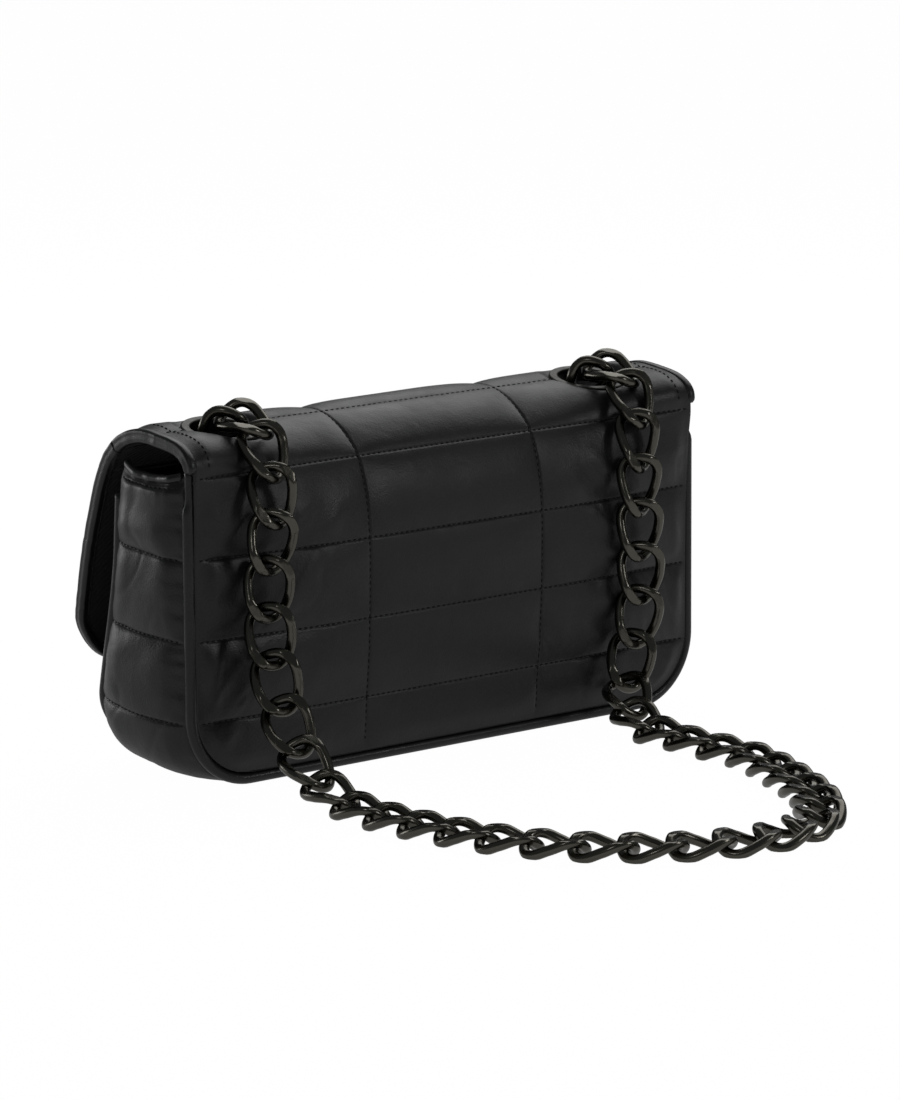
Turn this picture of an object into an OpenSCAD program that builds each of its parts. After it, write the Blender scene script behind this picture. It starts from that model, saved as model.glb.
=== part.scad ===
// Shoulder bag in quilted leather with a flap and a heavy curb chain.
// The origin lies on the floor under the middle of the bag.
// X runs along the bag, Y points to its back, Z points up.
// The front flap hangs on the side of minus Y.

/* [Bag] */
// Width of the bag over its piping
bag_width = 256; // [200:1:320]
// Height of the finished bag at the top of the roll
bag_height = 137.5; // [120:0.5:180]
// Distance from the origin to the middle of the back piping
back_plane = 25.7; // [22:0.1:40]
// Distance from the origin to the middle of the front piping at the floor
front_plane = 26.2; // [22:0.1:40]
// Radius of the lower corners, measured over the piping
corner_radius = 30; // [20:0.5:45]
// Angle by which the front leans back
front_lean = 4.1; // [0:0.1:8]
// Outward swell of the back panel
back_crown = 4.9; // [2:0.1:9]
// Outward swell of the front panel
front_crown = 4; // [2:0.1:7]
// Distance from the top of the bag down to the front panel's bound edge
front_drop = 19.5; // [15.5:0.5:38]
// Distance from the top of the bag down to the gussets' hem
gusset_drop = 12.5; // [8:0.5:32]

/* [Leather] */
// Thickness of the padded back panel
panel_thickness = 3.6; // [2:0.1:5]
// Thickness of the front panel
front_thickness = 3; // [2:0.1:4]
// Thickness of the gussets and of the strip under the bag
gusset_thickness = 2.4; // [1.6:0.1:4]
// Thickness of the lining
lining_thickness = 1; // [0.6:0.1:2]
// Thickness of the stiffener board
board_thickness = 1.6; // [1:0.1:3]
// Diameter of the piping
piping_diameter = 4.6; // [3:0.1:7]
// Height of the piping over the edge of a panel
piping_proud = 0.5; // [0.2:0.1:1]
// Height of the hem band at the top of a gusset
hem_height = 8; // [5:0.5:14]
// Height of the binding along the front panel
front_binding_height = 7; // [4:0.5:12]
// Width of the slip pocket
pocket_width = 110; // [60:1:160]
// Height of the slip pocket
pocket_height = 56; // [30:1:70]

/* [Quilting] */
// Height of the lowest cross seam
first_row = 27; // [15:0.5:40]
// Distance between the cross seams
row_height = 32; // [20:0.5:50]
// Distance between the two upright seams
column_width = 87; // [60:1:120]
// Depth of a seam in the padding
seam_depth = 0.9; // [0.4:0.1:1.5]
// Half the width of a seam in the padding
seam_half_width = 2.2; // [1:0.1:4]

/* [Flap] */
// Distance from the piping's outer side in to the flap's bound edge
flap_margin = 1; // [0:0.1:6]
// Radius of the roll behind the top
back_roll = 36.5; // [32:0.1:45]
// Radius of the roll in front of the top
front_roll = 32; // [29:0.1:40]
// Distance of the roll's middle in front of the origin
roll_front = 4; // [0:0.1:8]
// Thickness of the flap's leather
flap_thickness = 3.2; // [2:0.1:5]
// Thickness of the flap's lining
flap_lining_thickness = 1.1; // [0.6:0.1:2]
// Height of the flap's lower edge above the floor
flap_end_height = 36; // [20:0.5:80]
// Radius of the flap's lower corners
flap_corner = 25; // [12:0.5:40]
// Angle by which the flap stands off at its foot
flap_tilt = 6; // [0:0.5:10]
// Angle in front of the top where the flap bends up
hinge_angle = 20; // [15:0.5:28]
// Angle in front of the top where the flap bends again
fold_angle = 45; // [38:0.5:60]
// Width of the bound edge
binding_width = 2.8; // [2:0.1:5]
// Height of the bound edge over the leather
binding_proud = 0.3; // [0.1:0.1:1]
// Width of the cut where two stretches of the flap meet
bend_gap = 0.5; // [0.3:0.1:1.5]

/* [Eyelets] */
// Distance from the flap's bound edge to the middle of an eyelet
eyelet_inset = 34.5; // [20:0.5:60]
// Distance of the eyelets behind the origin
eyelet_back = 2; // [0:0.1:6]
// Outer diameter of an eyelet
eyelet_diameter = 31; // [26:0.5:36]
// Bore of an eyelet
eyelet_bore = 23.6; // [21:0.1:27]
// Thickness of the rolled flange
flange_thickness = 1.6; // [1:0.1:2.5]
// Wall of the eyelet's barrel
barrel_wall = 0.8; // [0.5:0.1:1.2]
// Depth of the flat seat below the top of the roll
seat_depth = 2.6; // [2:0.1:3.5]
// Thickness of the leather that the eyelet clamps
seat_thickness = 1.6; // [1:0.1:2.5]
// Thickness of the back washer
washer_thickness = 0.8; // [0.5:0.1:1.5]

/* [Snap] */
// Height of the snap above the floor
snap_height = 62; // [50:1:80]
// Diameter of the snap's stud plate
stud_diameter = 14; // [10:0.5:18]
// Diameter of the stud
stud_pin = 4.4; // [3:0.1:6]
// Diameter of the snap's socket
socket_diameter = 15; // [12:0.5:20]
// Height of the socket
socket_height = 4; // [3:0.1:5]
// Bore of the socket
socket_bore = 6.6; // [5:0.1:9]
// Diameter of the two backing washers
snap_washer = 12; // [9:0.5:16]

/* [Chain] */
// Outer length of a link
link_length = 27; // [22:0.5:34]
// Outer width of a link
link_width = 20.5; // [17:0.5:26]
// Thickness of the wire
wire = 4; // [3:0.1:5]
// Rise and fall of the wire in a twisted link
twist_rise = 2.9; // [2.4:0.1:4]
// Height of a link between its filed flats
link_height = 7.9; // [6:0.1:10]
// Play of each link in its neighbour
link_play = 0.5; // [0.3:0.1:1]
// Gap between the hanging chain and the back of the bag
drop_gap = 2.4; // [1:0.1:6]
// Reach of the loop on the floor behind the hanging chain
loop_reach = 192.2; // [120:0.5:260]
// Sag of the hidden run between the eyelets
inner_sag = 35.8; // [20:0.1:42]
// Forward shift of the hidden run
inner_shift = 9; // [6:0.1:14]

/* [Fit] */
// Gap between pieces that are sewn or set together
seam_gap = 0.2; // [0.1:0.05:0.5]
// Gap round pieces that move
running_gap = 0.3; // [0.2:0.05:0.8]
// Height of the hinge lines over the leather
hinge_lift = 0.6; // [0.4:0.1:1.5]

/* [Hidden] */

// Roundness of small and of very large curves
small_fn = 48;
curve_fn = 96;
large_fn = 720;
// Overrun of cuts
over = 1;

// Bag shell
half_width = bag_width / 2;
front_height = bag_height - front_drop;
gusset_height = bag_height - gusset_drop;
piping_radius = piping_diameter / 2;
piping_half = half_width - piping_radius;
piping_corner = corner_radius - piping_radius;
panel_half = half_width - piping_diameter - seam_gap;
panel_corner = corner_radius - piping_diameter - seam_gap;
panel_bottom = piping_diameter + seam_gap;
// The panels' outer faces lie a little outside the middle of the piping
panel_out = piping_radius - piping_proud;
gusset_half = half_width - piping_radius / 2;
gusset_corner = corner_radius - piping_radius / 2;
gusset_inner = gusset_half - gusset_thickness;
gusset_inner_corner = gusset_corner - gusset_thickness;
gusset_inset = piping_radius + running_gap;
corner_start = half_width - corner_radius;
hem_half = gusset_half + binding_proud;
hem_thickness = gusset_thickness + 2 * binding_proud;
lining_half = gusset_inner - seam_gap;
lining_corner = gusset_inner_corner - 2 * seam_gap;
board_bottom = gusset_thickness + seam_gap;
lining_bottom = board_bottom + board_thickness + seam_gap;
lining_top = front_height - front_binding_height - seam_gap;
upright_x = column_width / 2;

// Roll of the flap
roll_centre = bag_height - back_roll;
front_roll_centre = bag_height - front_roll;
flap_half = half_width - flap_margin;
flap_inner_half = flap_half - binding_width - seam_gap;
flap_stack = flap_thickness + seam_gap + flap_lining_thickness;
under_roll = back_roll - flap_stack - binding_proud - running_gap;
back_top = roll_centre;
front_tangent = 90 - flap_tilt;
tangent_y = -roll_front - front_roll * sin(front_tangent);
tangent_z = front_roll_centre + front_roll * cos(front_tangent);
tail_length = (tangent_z - flap_end_height) / cos(flap_tilt);
hinge_reach = front_roll + hinge_lift;

// Eyelets
eyelet_x = flap_half - eyelet_inset;
eyelet_tilt = asin((eyelet_back + roll_front) / back_roll);
eyelet_z = roll_centre + back_roll * cos(eyelet_tilt);
eyelet_radius = eyelet_diameter / 2;
bore_radius = eyelet_bore / 2;
barrel_radius = bore_radius + barrel_wall;
hole_radius = barrel_radius + seam_gap / 2;
seat_radius = eyelet_radius + running_gap;
curl_radius = barrel_wall * 3 / 4;
washer_top = -seat_depth - seat_thickness - seam_gap;
washer_bottom = washer_top - washer_thickness;
curl_height = washer_bottom - seam_gap / 2 - curl_radius;

// Snap
stud_radius = stud_diameter / 2;
stud_plate = flange_thickness;
socket_radius = socket_diameter / 2;
snap_post = stud_pin / 2;
snap_pocket = washer_thickness + seam_gap;

// Chain
link_pitch = link_length - 2 * wire - 2 * link_play;
link_rings = 16;
link_sides = 6;
link_squareness = 0.9;
floor_lift = 0.2;
floor_z = link_height / 2 + floor_lift;
drop_y = back_plane + panel_out + back_crown + link_height / 2 + drop_gap;
// Place of the standing link in an eyelet, from the top of the seat
stand_side = 0.9;
stand_back = 1.5;
stand_sink = 3.4;
stand_lean = 34;
stand_roll = 11.3;
// Place of the first link of the strap, from the same point
first_side = -1.3;
first_back = 13.8;
first_rise = 3.1;
first_fall = 16.8;
first_roll = -9.2;
// Turn of the route where it leaves the first link
leave_turn = 27;
first_z = eyelet_z + first_rise;

// Strap route from the left eyelet to the right one: shares of the eyelets'
// half spacing, of the loop's reach and of the height, then the direction in
// which the flat side faces and its turn in degrees.
strap_shares = [
  [0.977, -0.061, 0.968, 0, 0.6, 0.8, 4.4],
  [1.004, -0.02, 0.858, 0, 0.9, 0.4, -10.8],
  [1.031, 0.006, 0.736, 0, 1, 0.1, -11.5],
  [1.054, 0.001, 0.587, 0, 1, 0.1, -21.4],
  [1.07, 0.011, 0.441, 0, 1, 0.1, -25.4],
  [1.081, 0.037, 0.301, 0, 1, 0.2, -25],
  [1.092, 0.084, 0.175, 0, 0.8, 0.5, -20],
  [1.108, 0.157, 0.073, 0, 0.6, 0.8, -10],
  [1.114, 0.251, 0.016, 0, 0.1, 1, 0],
  [1.103, 0.36, 0, 0, 0, 1, 0],
  [1.049, 0.553, 0, 0, 0, 1, 0],
  [0.941, 0.714, 0, 0, 0, 1, 0],
  [0.735, 0.854, 0, 0, 0, 1, 0],
  [0.432, 0.958, 0, 0, 0, 1, 0],
  [0.086, 1, 0, 0, 0, 1, 0],
  [-0.216, 0.953, 0, 0, 0, 1, 0],
  [-0.454, 0.818, 0, 0, 0, 1, 0],
  [-0.616, 0.646, 0, 0, 0, 1, 0],
  [-0.735, 0.475, 0, 0, 0, 1, 0],
  [-0.73, 0.344, 0, 0, 0, 1, 0],
  [-0.718, 0.27, 0.003, 0, 0, 1, -2],
  [-0.715, 0.177, 0.003, 0, 0, 1, 6],
  [-0.741, 0.098, 0.035, 0, 0.2, 1, 1],
  [-0.834, 0.027, 0.065, 0, 0.6, 1, 12],
  [-0.909, 0.005, 0.171, 0, 1, 0.2, 21],
  [-0.973, 0.001, 0.308, 0, 1, 0, 20],
  [-0.973, 0, 0.454, 0, 1, 0, 14.7],
  [-0.968, 0, 0.595, 0, 1, 0.1, 10],
  [-0.968, -0.002, 0.734, 0, 1, 0.1, -1.6],
  [-0.989, -0.02, 0.857, 0, 0.9, 0.4, -0.1],
  [-1.027, -0.062, 0.969, 0, 0.6, 0.8, -0.6]];

// Hidden run: shares of the eyelets' half spacing, of the forward shift and
// of the sag, then the turn in degrees.
inner_shares = [
  [0.99, 0.623, 0.242, -7.4],
  [1.007, 1.231, 0.487, -15.6],
  [0.822, 0.607, 0.73, -5],
  [0.616, 1.116, 0.957, -5],
  [0.324, 1.074, 0.992, -3],
  [0, 1.074, 1.001, 0],
  [-0.324, 1.074, 0.992, 3],
  [-0.605, 1.116, 0.957, 5],
  [-0.838, 1.244, 0.618, 17.6],
  [-0.964, 1.249, 0.472, 10.4],
  [-0.988, 0.492, 0.185, 0.2]];

// Helpers for profiles

// A profile drawn in Y and Z runs along X over a width
module across(width) {
  rotate([90, 0, 90])
    linear_extrude(height = width, center = true)
      children();
}

// An outline drawn in X and Z runs along Y from near to far
module along(near, far) {
  translate([0, far, 0])
    rotate([90, 0, 0])
      linear_extrude(height = far - near)
        children();
}

// Outline of the bag's end view from the back: flat sides, round lower corners
module bag_outline(half, bottom, radius, top) {
  translate([-half, bottom + radius])
    square([2 * half, top - bottom - radius]);
  translate([radius - half, bottom])
    square([2 * (half - radius), top - bottom]);
  for (side = [-1, 1])
    translate([side * (half - radius), bottom + radius])
      circle(r = radius, $fn = curve_fn);
}

function front_y(z) = -front_plane + (z - piping_radius) * tan(front_lean);

// Side view of the room between the two panels, under the roll
module room(inset, bottom, top) {
  intersection() {
    polygon([
      [back_plane - inset, bottom],
      [back_plane - inset, top],
      [front_y(top) + inset, top],
      [front_y(bottom) + inset, bottom]]);
    union() {
      translate([-bag_height, bottom])
        square([2 * bag_height, roll_centre - bottom]);
      translate([-roll_front, roll_centre])
        circle(r = under_roll, $fn = curve_fn);
    }
  }
}

// Direction of an angle in front of the top, in Y and Z
function ray(angle) = [-sin(angle), cos(angle)];

// Ring sector between two angles in front of the top
module sector(centre_z, outer, thickness, from, to) {
  reach = 2 * outer;
  middle = (from + to) / 2;
  translate([-roll_front, centre_z])
    difference() {
      intersection() {
        circle(r = outer, $fn = curve_fn);
        polygon([
          [0, 0],
          reach * ray(from),
          reach * ray(middle),
          reach * ray(to)]);
      }
      circle(r = outer - thickness, $fn = curve_fn);
    }
}

function gap_angle(radius) = asin(bend_gap / 2 / radius);

// Side views of the flap's three stretches, grown by a margin
module root_view(out, thickness) {
  sector(roll_centre, back_roll + out, thickness, -90, 0);
  sector(front_roll_centre, front_roll + out, thickness,
    0, hinge_angle - gap_angle(front_roll));
}

module top_view(out, thickness) {
  sector(front_roll_centre, front_roll + out, thickness,
    hinge_angle + gap_angle(front_roll), fold_angle - gap_angle(front_roll));
}

module front_view(out, thickness, tail) {
  sector(front_roll_centre, front_roll + out, thickness,
    fold_angle + gap_angle(front_roll), front_tangent);
  translate([tangent_y, tangent_z])
    rotate(180 - flap_tilt)
      translate([out - thickness, -seam_gap])
        square([thickness, tail + seam_gap]);
}

// Padded panel with its swell and seams; Y points outward from the piping
function crown_radius(rise) = (panel_half * panel_half + rise * rise) / (2 * rise);
function crown_centre(rise) = panel_out + rise - crown_radius(rise);
function crown_y(rise, x) = crown_centre(rise) + sqrt(pow(crown_radius(rise), 2) - x * x);

module crown_wall(rise, out, thickness, bottom, top) {
  translate([0, crown_centre(rise), bottom])
    difference() {
      cylinder(r = crown_radius(rise) + out, h = top - bottom, $fn = large_fn);
      translate([0, 0, -over])
        cylinder(r = crown_radius(rise) + out - thickness,
          h = top - bottom + 2 * over, $fn = large_fn);
    }
}

module seam_ring(radius) {
  rotate_extrude($fn = large_fn)
    polygon([
      [radius - seam_depth, 0],
      [radius + seam_depth, -2 * seam_half_width],
      [radius + seam_depth, 2 * seam_half_width]]);
}

module upright_seam(length) {
  side = seam_depth * sqrt(2);
  rotate([0, 0, 45])
    cube([side, side, length], center = true);
}

module padded_panel(rise, thickness, top) {
  difference() {
    intersection() {
      crown_wall(rise, 0, thickness, 0, top);
      along(-corner_radius, corner_radius)
        bag_outline(panel_half, panel_bottom, panel_corner, top);
    }
    for (z = [first_row : row_height : top - seam_half_width])
      translate([0, crown_centre(rise), z])
        seam_ring(crown_radius(rise));
    for (side = [-1, 1])
      translate([side * upright_x, crown_y(rise, upright_x), top / 2])
        upright_seam(top + 2 * over);
  }
}

// Piping: a cord in leather round the sides, corners and bottom of a panel
module piping(top) {
  straight = top - corner_radius;
  for (side = [-1, 1])
    translate([side * piping_half, 0, corner_radius])
      cylinder(r = piping_radius, h = straight, $fn = small_fn);
  translate([-corner_start, 0, piping_radius])
    rotate([0, 90, 0])
      cylinder(r = piping_radius, h = 2 * corner_start, $fn = small_fn);
  for (side = [0, 1])
    translate([(2 * side - 1) * corner_start, 0, corner_radius])
      rotate([90, 0, 0])
        rotate([0, 0, 180 + 90 * side])
          rotate_extrude(angle = 90, $fn = curve_fn)
            translate([piping_corner, 0])
              circle(r = piping_radius, $fn = small_fn);
}

// Things on the back stand square; things on the front lean with it
module at_back() {
  translate([0, back_plane, 0])
    children();
}

module at_front() {
  translate([0, -front_plane, piping_radius])
    rotate([-front_lean, 0, 0])
      translate([0, 0, -piping_radius])
        mirror([0, 1, 0])
          children();
}

module back_panel() {
  color([0.04, 0.04, 0.045])
    at_back()
      padded_panel(back_crown, panel_thickness, back_top - seam_gap);
}

module front_panel() {
  color([0.05, 0.05, 0.055])
    at_front()
      difference() {
        padded_panel(front_crown, front_thickness,
          front_height - front_binding_height);
        snap_socket_place()
          cylinder(r = snap_post + seam_gap, h = 4 * front_thickness,
            center = true, $fn = small_fn);
      }
}

module back_piping() {
  color([0.02, 0.02, 0.025])
    at_back()
      piping(back_top - seam_gap);
}

module front_piping() {
  color([0.02, 0.02, 0.025])
    at_front()
      piping(front_height - front_binding_height);
}

module front_top_binding() {
  color([0.02, 0.02, 0.025])
    at_front()
      intersection() {
        crown_wall(front_crown, binding_proud,
          front_thickness + 2 * binding_proud,
          front_height - front_binding_height + seam_gap, front_height);
        along(-corner_radius, corner_radius)
          bag_outline(panel_half, panel_bottom, panel_corner,
            front_height + over);
      }
}

// Gussets and the strip under the bag: one wall, cut where its seams are
module end_wall(half, corner, thickness, bottom, top) {
  intersection() {
    along(-bag_height, bag_height)
      difference() {
        bag_outline(half, 0, corner, top);
        bag_outline(half - thickness, thickness, corner - thickness,
          top + over);
      }
    across(2 * bag_width)
      room(gusset_inset, bottom, top);
  }
}

module gusset(side) {
  start = corner_start + seam_gap / 2;
  top = gusset_height - hem_height - seam_gap;
  difference() {
    intersection() {
      end_wall(gusset_half, gusset_corner, gusset_thickness, 0, top);
      translate([side > 0 ? start : -start - corner_radius * 2,
        -bag_height, -over])
        cube([2 * corner_radius, 2 * bag_height, bag_height + over]);
    }
    for (z = [first_row + row_height : row_height : top - row_height / 2])
      translate([side * gusset_half, 0, z])
        rotate([90, 0, 0])
          upright_seam(2 * bag_height);
  }
}

module left_gusset() {
  color([0.045, 0.045, 0.05])
    gusset(1);
}

module right_gusset() {
  color([0.045, 0.045, 0.05])
    gusset(-1);
}

module base_strip() {
  color([0.045, 0.045, 0.05])
    intersection() {
      end_wall(gusset_half, gusset_corner, gusset_thickness, 0,
        corner_radius);
      translate([seam_gap / 2 - corner_start, -bag_height, -over])
        cube([2 * corner_start - seam_gap, 2 * bag_height,
          gusset_thickness + 2 * over]);
    }
}

module hem(side) {
  low = gusset_height - hem_height;
  intersection() {
    end_wall(hem_half, corner_radius, hem_thickness, low, gusset_height);
    translate([side > 0 ? 0 : -bag_width, -bag_height, low])
      cube([bag_width, 2 * bag_height, bag_height]);
  }
}

module left_gusset_hem() {
  color([0.03, 0.03, 0.035])
    hem(1);
}

module right_gusset_hem() {
  color([0.03, 0.03, 0.035])
    hem(-1);
}

module lining() {
  inset = gusset_inset + seam_gap;
  color([0.12, 0.12, 0.13])
    difference() {
      intersection() {
        along(-bag_height, bag_height)
          bag_outline(lining_half, lining_bottom, lining_corner, lining_top);
        across(bag_width)
          room(inset, 0, lining_top);
      }
      intersection() {
        along(-bag_height, bag_height)
          bag_outline(lining_half - lining_thickness,
            lining_bottom + lining_thickness,
            lining_corner - lining_thickness, lining_top + over);
        across(bag_width)
          room(inset + lining_thickness, 0, lining_top + over);
      }
    }
}

module slip_pocket() {
  far = back_plane - gusset_inset - 2 * seam_gap - lining_thickness;
  color([0.15, 0.15, 0.16])
    translate([-pocket_width / 2, far - lining_thickness, first_row])
      cube([pocket_width, lining_thickness, pocket_height]);
}

module base_board() {
  near = front_y(0) + gusset_inset + 2 * seam_gap;
  far = back_plane - gusset_inset - seam_gap;
  color([0.3, 0.25, 0.2])
    translate([-corner_start, near, board_bottom])
      cube([2 * corner_start, far - near, board_thickness]);
}

// Flap: the leather of each stretch, its lining and its bound edge
module roll_groove(centre_z, radius, x) {
  translate([x, -roll_front, centre_z])
    rotate([0, 90, 0])
      rotate_extrude($fn = curve_fn)
        polygon([
          [radius - seam_depth, 0],
          [radius + seam_depth, -2 * seam_half_width],
          [radius + seam_depth, 2 * seam_half_width]]);
}

module roll_seams() {
  for (side = [-1, 1]) {
    roll_groove(roll_centre, back_roll, side * upright_x);
    roll_groove(front_roll_centre, front_roll, side * upright_x);
  }
}

module cross_seam() {
  high = first_row + 3 * row_height - roll_centre;
  translate([0, sqrt(back_roll * back_roll - high * high) - roll_front,
    roll_centre + high])
    rotate([0, 90, 0])
      upright_seam(bag_width);
}

module at_eyelet(side) {
  translate([side * eyelet_x, eyelet_back, eyelet_z])
    rotate([-eyelet_tilt, 0, 0])
      children();
}

module flap_root() {
  color([0.04, 0.04, 0.045])
    difference() {
      union() {
        difference() {
          across(2 * flap_inner_half)
            root_view(0, flap_thickness);
          roll_seams();
          cross_seam();
        }
        for (side = [-1, 1])
          at_eyelet(side)
            translate([0, 0, -seat_depth - seat_thickness])
              cylinder(r = seat_radius + barrel_wall, h = seat_thickness,
                $fn = curve_fn);
      }
      for (side = [-1, 1])
        at_eyelet(side) {
          translate([0, 0, -seat_depth])
            cylinder(r = seat_radius, h = 2 * seat_depth, $fn = curve_fn);
          translate([0, 0, -seat_depth - seat_thickness - 2 * flap_thickness])
            cylinder(r = seat_radius, h = 2 * flap_thickness,
              $fn = curve_fn);
          translate([0, 0, -4 * seat_depth])
            cylinder(r = hole_radius, h = 5 * seat_depth, $fn = curve_fn);
        }
    }
}

module flap_root_lining() {
  color([0.12, 0.12, 0.13])
    difference() {
      across(2 * flap_inner_half)
        root_view(-flap_thickness - seam_gap, flap_lining_thickness);
      for (side = [-1, 1])
        at_eyelet(side)
          translate([0, 0, -6 * seat_depth])
            cylinder(r = seat_radius + barrel_wall + seam_gap,
              h = 6 * seat_depth, $fn = curve_fn);
    }
}

module edge_bands() {
  for (side = [-1, 1])
    translate([side * (flap_half - binding_width / 2), 0, 0])
      across(binding_width)
        children();
}

module flap_root_binding() {
  color([0.02, 0.02, 0.025])
    edge_bands()
      root_view(binding_proud, flap_stack + 2 * binding_proud);
}

module flap_top() {
  color([0.04, 0.04, 0.045])
    difference() {
      across(2 * flap_inner_half)
        top_view(0, flap_thickness);
      roll_seams();
    }
}

module flap_top_lining() {
  color([0.12, 0.12, 0.13])
    across(2 * flap_inner_half)
      top_view(-flap_thickness - seam_gap, flap_lining_thickness);
}

module flap_top_binding() {
  color([0.02, 0.02, 0.025])
    edge_bands()
      top_view(binding_proud, flap_stack + 2 * binding_proud);
}

module flap_outline(half, bottom, radius) {
  bag_outline(half, bottom, radius, bag_height);
}

// The flap's foot, measured along its fall
flap_foot = tangent_z - tail_length * cos(flap_tilt);

module at_stud() {
  fall = (tangent_z - snap_height) / cos(flap_tilt);
  translate([0, tangent_y, tangent_z])
    rotate([-flap_tilt, 0, 0])
      translate([0, 0, -fall])
        rotate([-90, 0, 0])
          children();
}

module flap_front() {
  color([0.04, 0.04, 0.045])
    difference() {
      intersection() {
        across(2 * flap_inner_half)
          front_view(0, flap_thickness, tail_length);
        along(-bag_width, 0)
          flap_outline(flap_inner_half, flap_foot + binding_width + seam_gap,
            flap_corner - binding_width - seam_gap);
      }
      roll_groove(front_roll_centre, front_roll, upright_x);
      roll_groove(front_roll_centre, front_roll, -upright_x);
      for (fall = [tangent_z - first_row - 2 * row_height,
          tangent_z - first_row - row_height])
        translate([0, tangent_y, tangent_z])
          rotate([-flap_tilt, 0, 0])
            translate([0, 0, -fall / cos(flap_tilt)])
              rotate([0, 90, 0])
                upright_seam(bag_width);
      for (side = [-1, 1])
        translate([side * upright_x, tangent_y, tangent_z])
          rotate([-flap_tilt, 0, 0])
            translate([0, 0, -tail_length / 2])
              upright_seam(tail_length);
      at_stud()
        translate([0, 0, flap_thickness - snap_pocket])
          cylinder(r = snap_washer / 2 + seam_gap, h = 2 * snap_pocket,
            $fn = small_fn);
    }
}

module flap_front_lining() {
  color([0.12, 0.12, 0.13])
    difference() {
      intersection() {
        across(2 * flap_inner_half)
          front_view(-flap_thickness - seam_gap, flap_lining_thickness,
            tail_length);
        along(-bag_width, 0)
          flap_outline(flap_inner_half, flap_foot + binding_width + seam_gap,
            flap_corner - binding_width - seam_gap);
      }
      at_stud()
        cylinder(r = snap_post + seam_gap, h = 2 * flap_stack,
          $fn = small_fn);
    }
}

module flap_front_binding() {
  color([0.02, 0.02, 0.025])
    intersection() {
      across(2 * flap_half)
        front_view(binding_proud, flap_stack + 2 * binding_proud,
          tail_length + over);
      along(-bag_width, 0)
        difference() {
          flap_outline(flap_half, flap_foot, flap_corner);
          bag_outline(flap_half - binding_width, flap_foot + binding_width,
            flap_corner - binding_width, bag_height + over);
        }
    }
}

// Eyelets
module eyelet() {
  flange_middle = flange_thickness / 2 + seam_gap / 2 - seat_depth;
  rotate_extrude($fn = curve_fn) {
    translate([bore_radius + flange_thickness / 2, flange_middle])
      circle(r = flange_thickness / 2, $fn = small_fn);
    translate([eyelet_radius - flange_thickness / 2, flange_middle])
      circle(r = flange_thickness / 2, $fn = small_fn);
    translate([bore_radius + flange_thickness / 2,
      flange_middle - flange_thickness / 2])
      square([eyelet_radius - bore_radius - flange_thickness,
        flange_thickness]);
    translate([bore_radius, curl_height])
      square([barrel_wall, flange_middle - curl_height]);
    translate([bore_radius + curl_radius, curl_height])
      circle(r = curl_radius, $fn = small_fn);
    translate([barrel_radius + curl_radius / 2, curl_height])
      circle(r = curl_radius, $fn = small_fn);
  }
}

module eyelet_washer() {
  translate([0, 0, washer_bottom])
    difference() {
      cylinder(r = eyelet_radius, h = washer_thickness, $fn = curve_fn);
      translate([0, 0, -over])
        cylinder(r = hole_radius, h = washer_thickness + 2 * over,
          $fn = curve_fn);
    }
}

module left_eyelet() {
  color([0.2, 0.2, 0.19])
    at_eyelet(1)
      eyelet();
}

module right_eyelet() {
  color([0.2, 0.2, 0.19])
    at_eyelet(-1)
      eyelet();
}

module left_eyelet_washer() {
  color([0.25, 0.25, 0.24])
    at_eyelet(1)
      eyelet_washer();
}

module right_eyelet_washer() {
  color([0.25, 0.25, 0.24])
    at_eyelet(-1)
      eyelet_washer();
}

// Snap: the stud on the flap, the socket on the front panel
module snap_stud() {
  reach = stud_plate + socket_height / 2;
  color([0.25, 0.25, 0.24])
    at_stud() {
      translate([0, 0, flap_stack + seam_gap])
        cylinder(r = stud_radius, h = stud_plate, $fn = small_fn);
      translate([0, 0, flap_thickness])
        cylinder(r = snap_post, h = flap_stack - flap_thickness + reach,
          $fn = small_fn);
    }
}

module snap_stud_washer() {
  color([0.3, 0.3, 0.29])
    at_stud()
      translate([0, 0, flap_thickness - snap_pocket + seam_gap / 2])
        cylinder(r = snap_washer / 2, h = washer_thickness, $fn = small_fn);
}

module snap_socket_place() {
  translate([0, panel_out + front_crown, snap_height])
    rotate([-90, 0, 0])
      children();
}

module snap_socket() {
  color([0.25, 0.25, 0.24])
    at_front()
      snap_socket_place() {
        difference() {
          translate([0, 0, seam_gap])
            cylinder(r = socket_radius, h = socket_height, $fn = small_fn);
          translate([0, 0, socket_height / 3])
            cylinder(r = socket_bore / 2, h = socket_height,
              $fn = small_fn);
        }
        translate([0, 0, -front_thickness - seam_gap])
          cylinder(r = snap_post, h = front_thickness + 2 * seam_gap,
            $fn = small_fn);
      }
}

module snap_socket_washer() {
  color([0.3, 0.3, 0.29])
    at_front()
      snap_socket_place()
        translate([0, 0, -front_thickness - 2 * seam_gap - washer_thickness])
          cylinder(r = snap_washer / 2, h = washer_thickness,
            $fn = small_fn);
}

// Chain link: a twisted oval of wire with its two sides filed flat

// Middle of the wire at an angle round the oval
function power(value) = sign(value) * pow(abs(value), link_squareness);
function wire_middle(a) = [
  (link_length / 2 - wire / 2) * power(cos(a)),
  (link_width / 2 - wire / 2) * power(sin(a)),
  -twist_rise * sin(2 * a)];
function unit(v) = v / norm(v);
function wire_way(a) = unit(wire_middle(a + 360 / link_rings)
  - wire_middle(a - 360 / link_rings));
function filed(p) = [p[0], p[1], max(-link_height / 2, min(link_height / 2, p[2]))];

function ring_points(a) =
  let (middle = wire_middle(a))
  let (way = wire_way(a))
  let (side = unit(cross(way, [0, 0, 1])))
  let (up = cross(side, way))
  [for (k = [0 : link_sides - 1])
    let (turn = 360 * (k + 0.5) / link_sides)
    filed(middle + wire / 2 * (cos(turn) * side + sin(turn) * up))];

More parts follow.
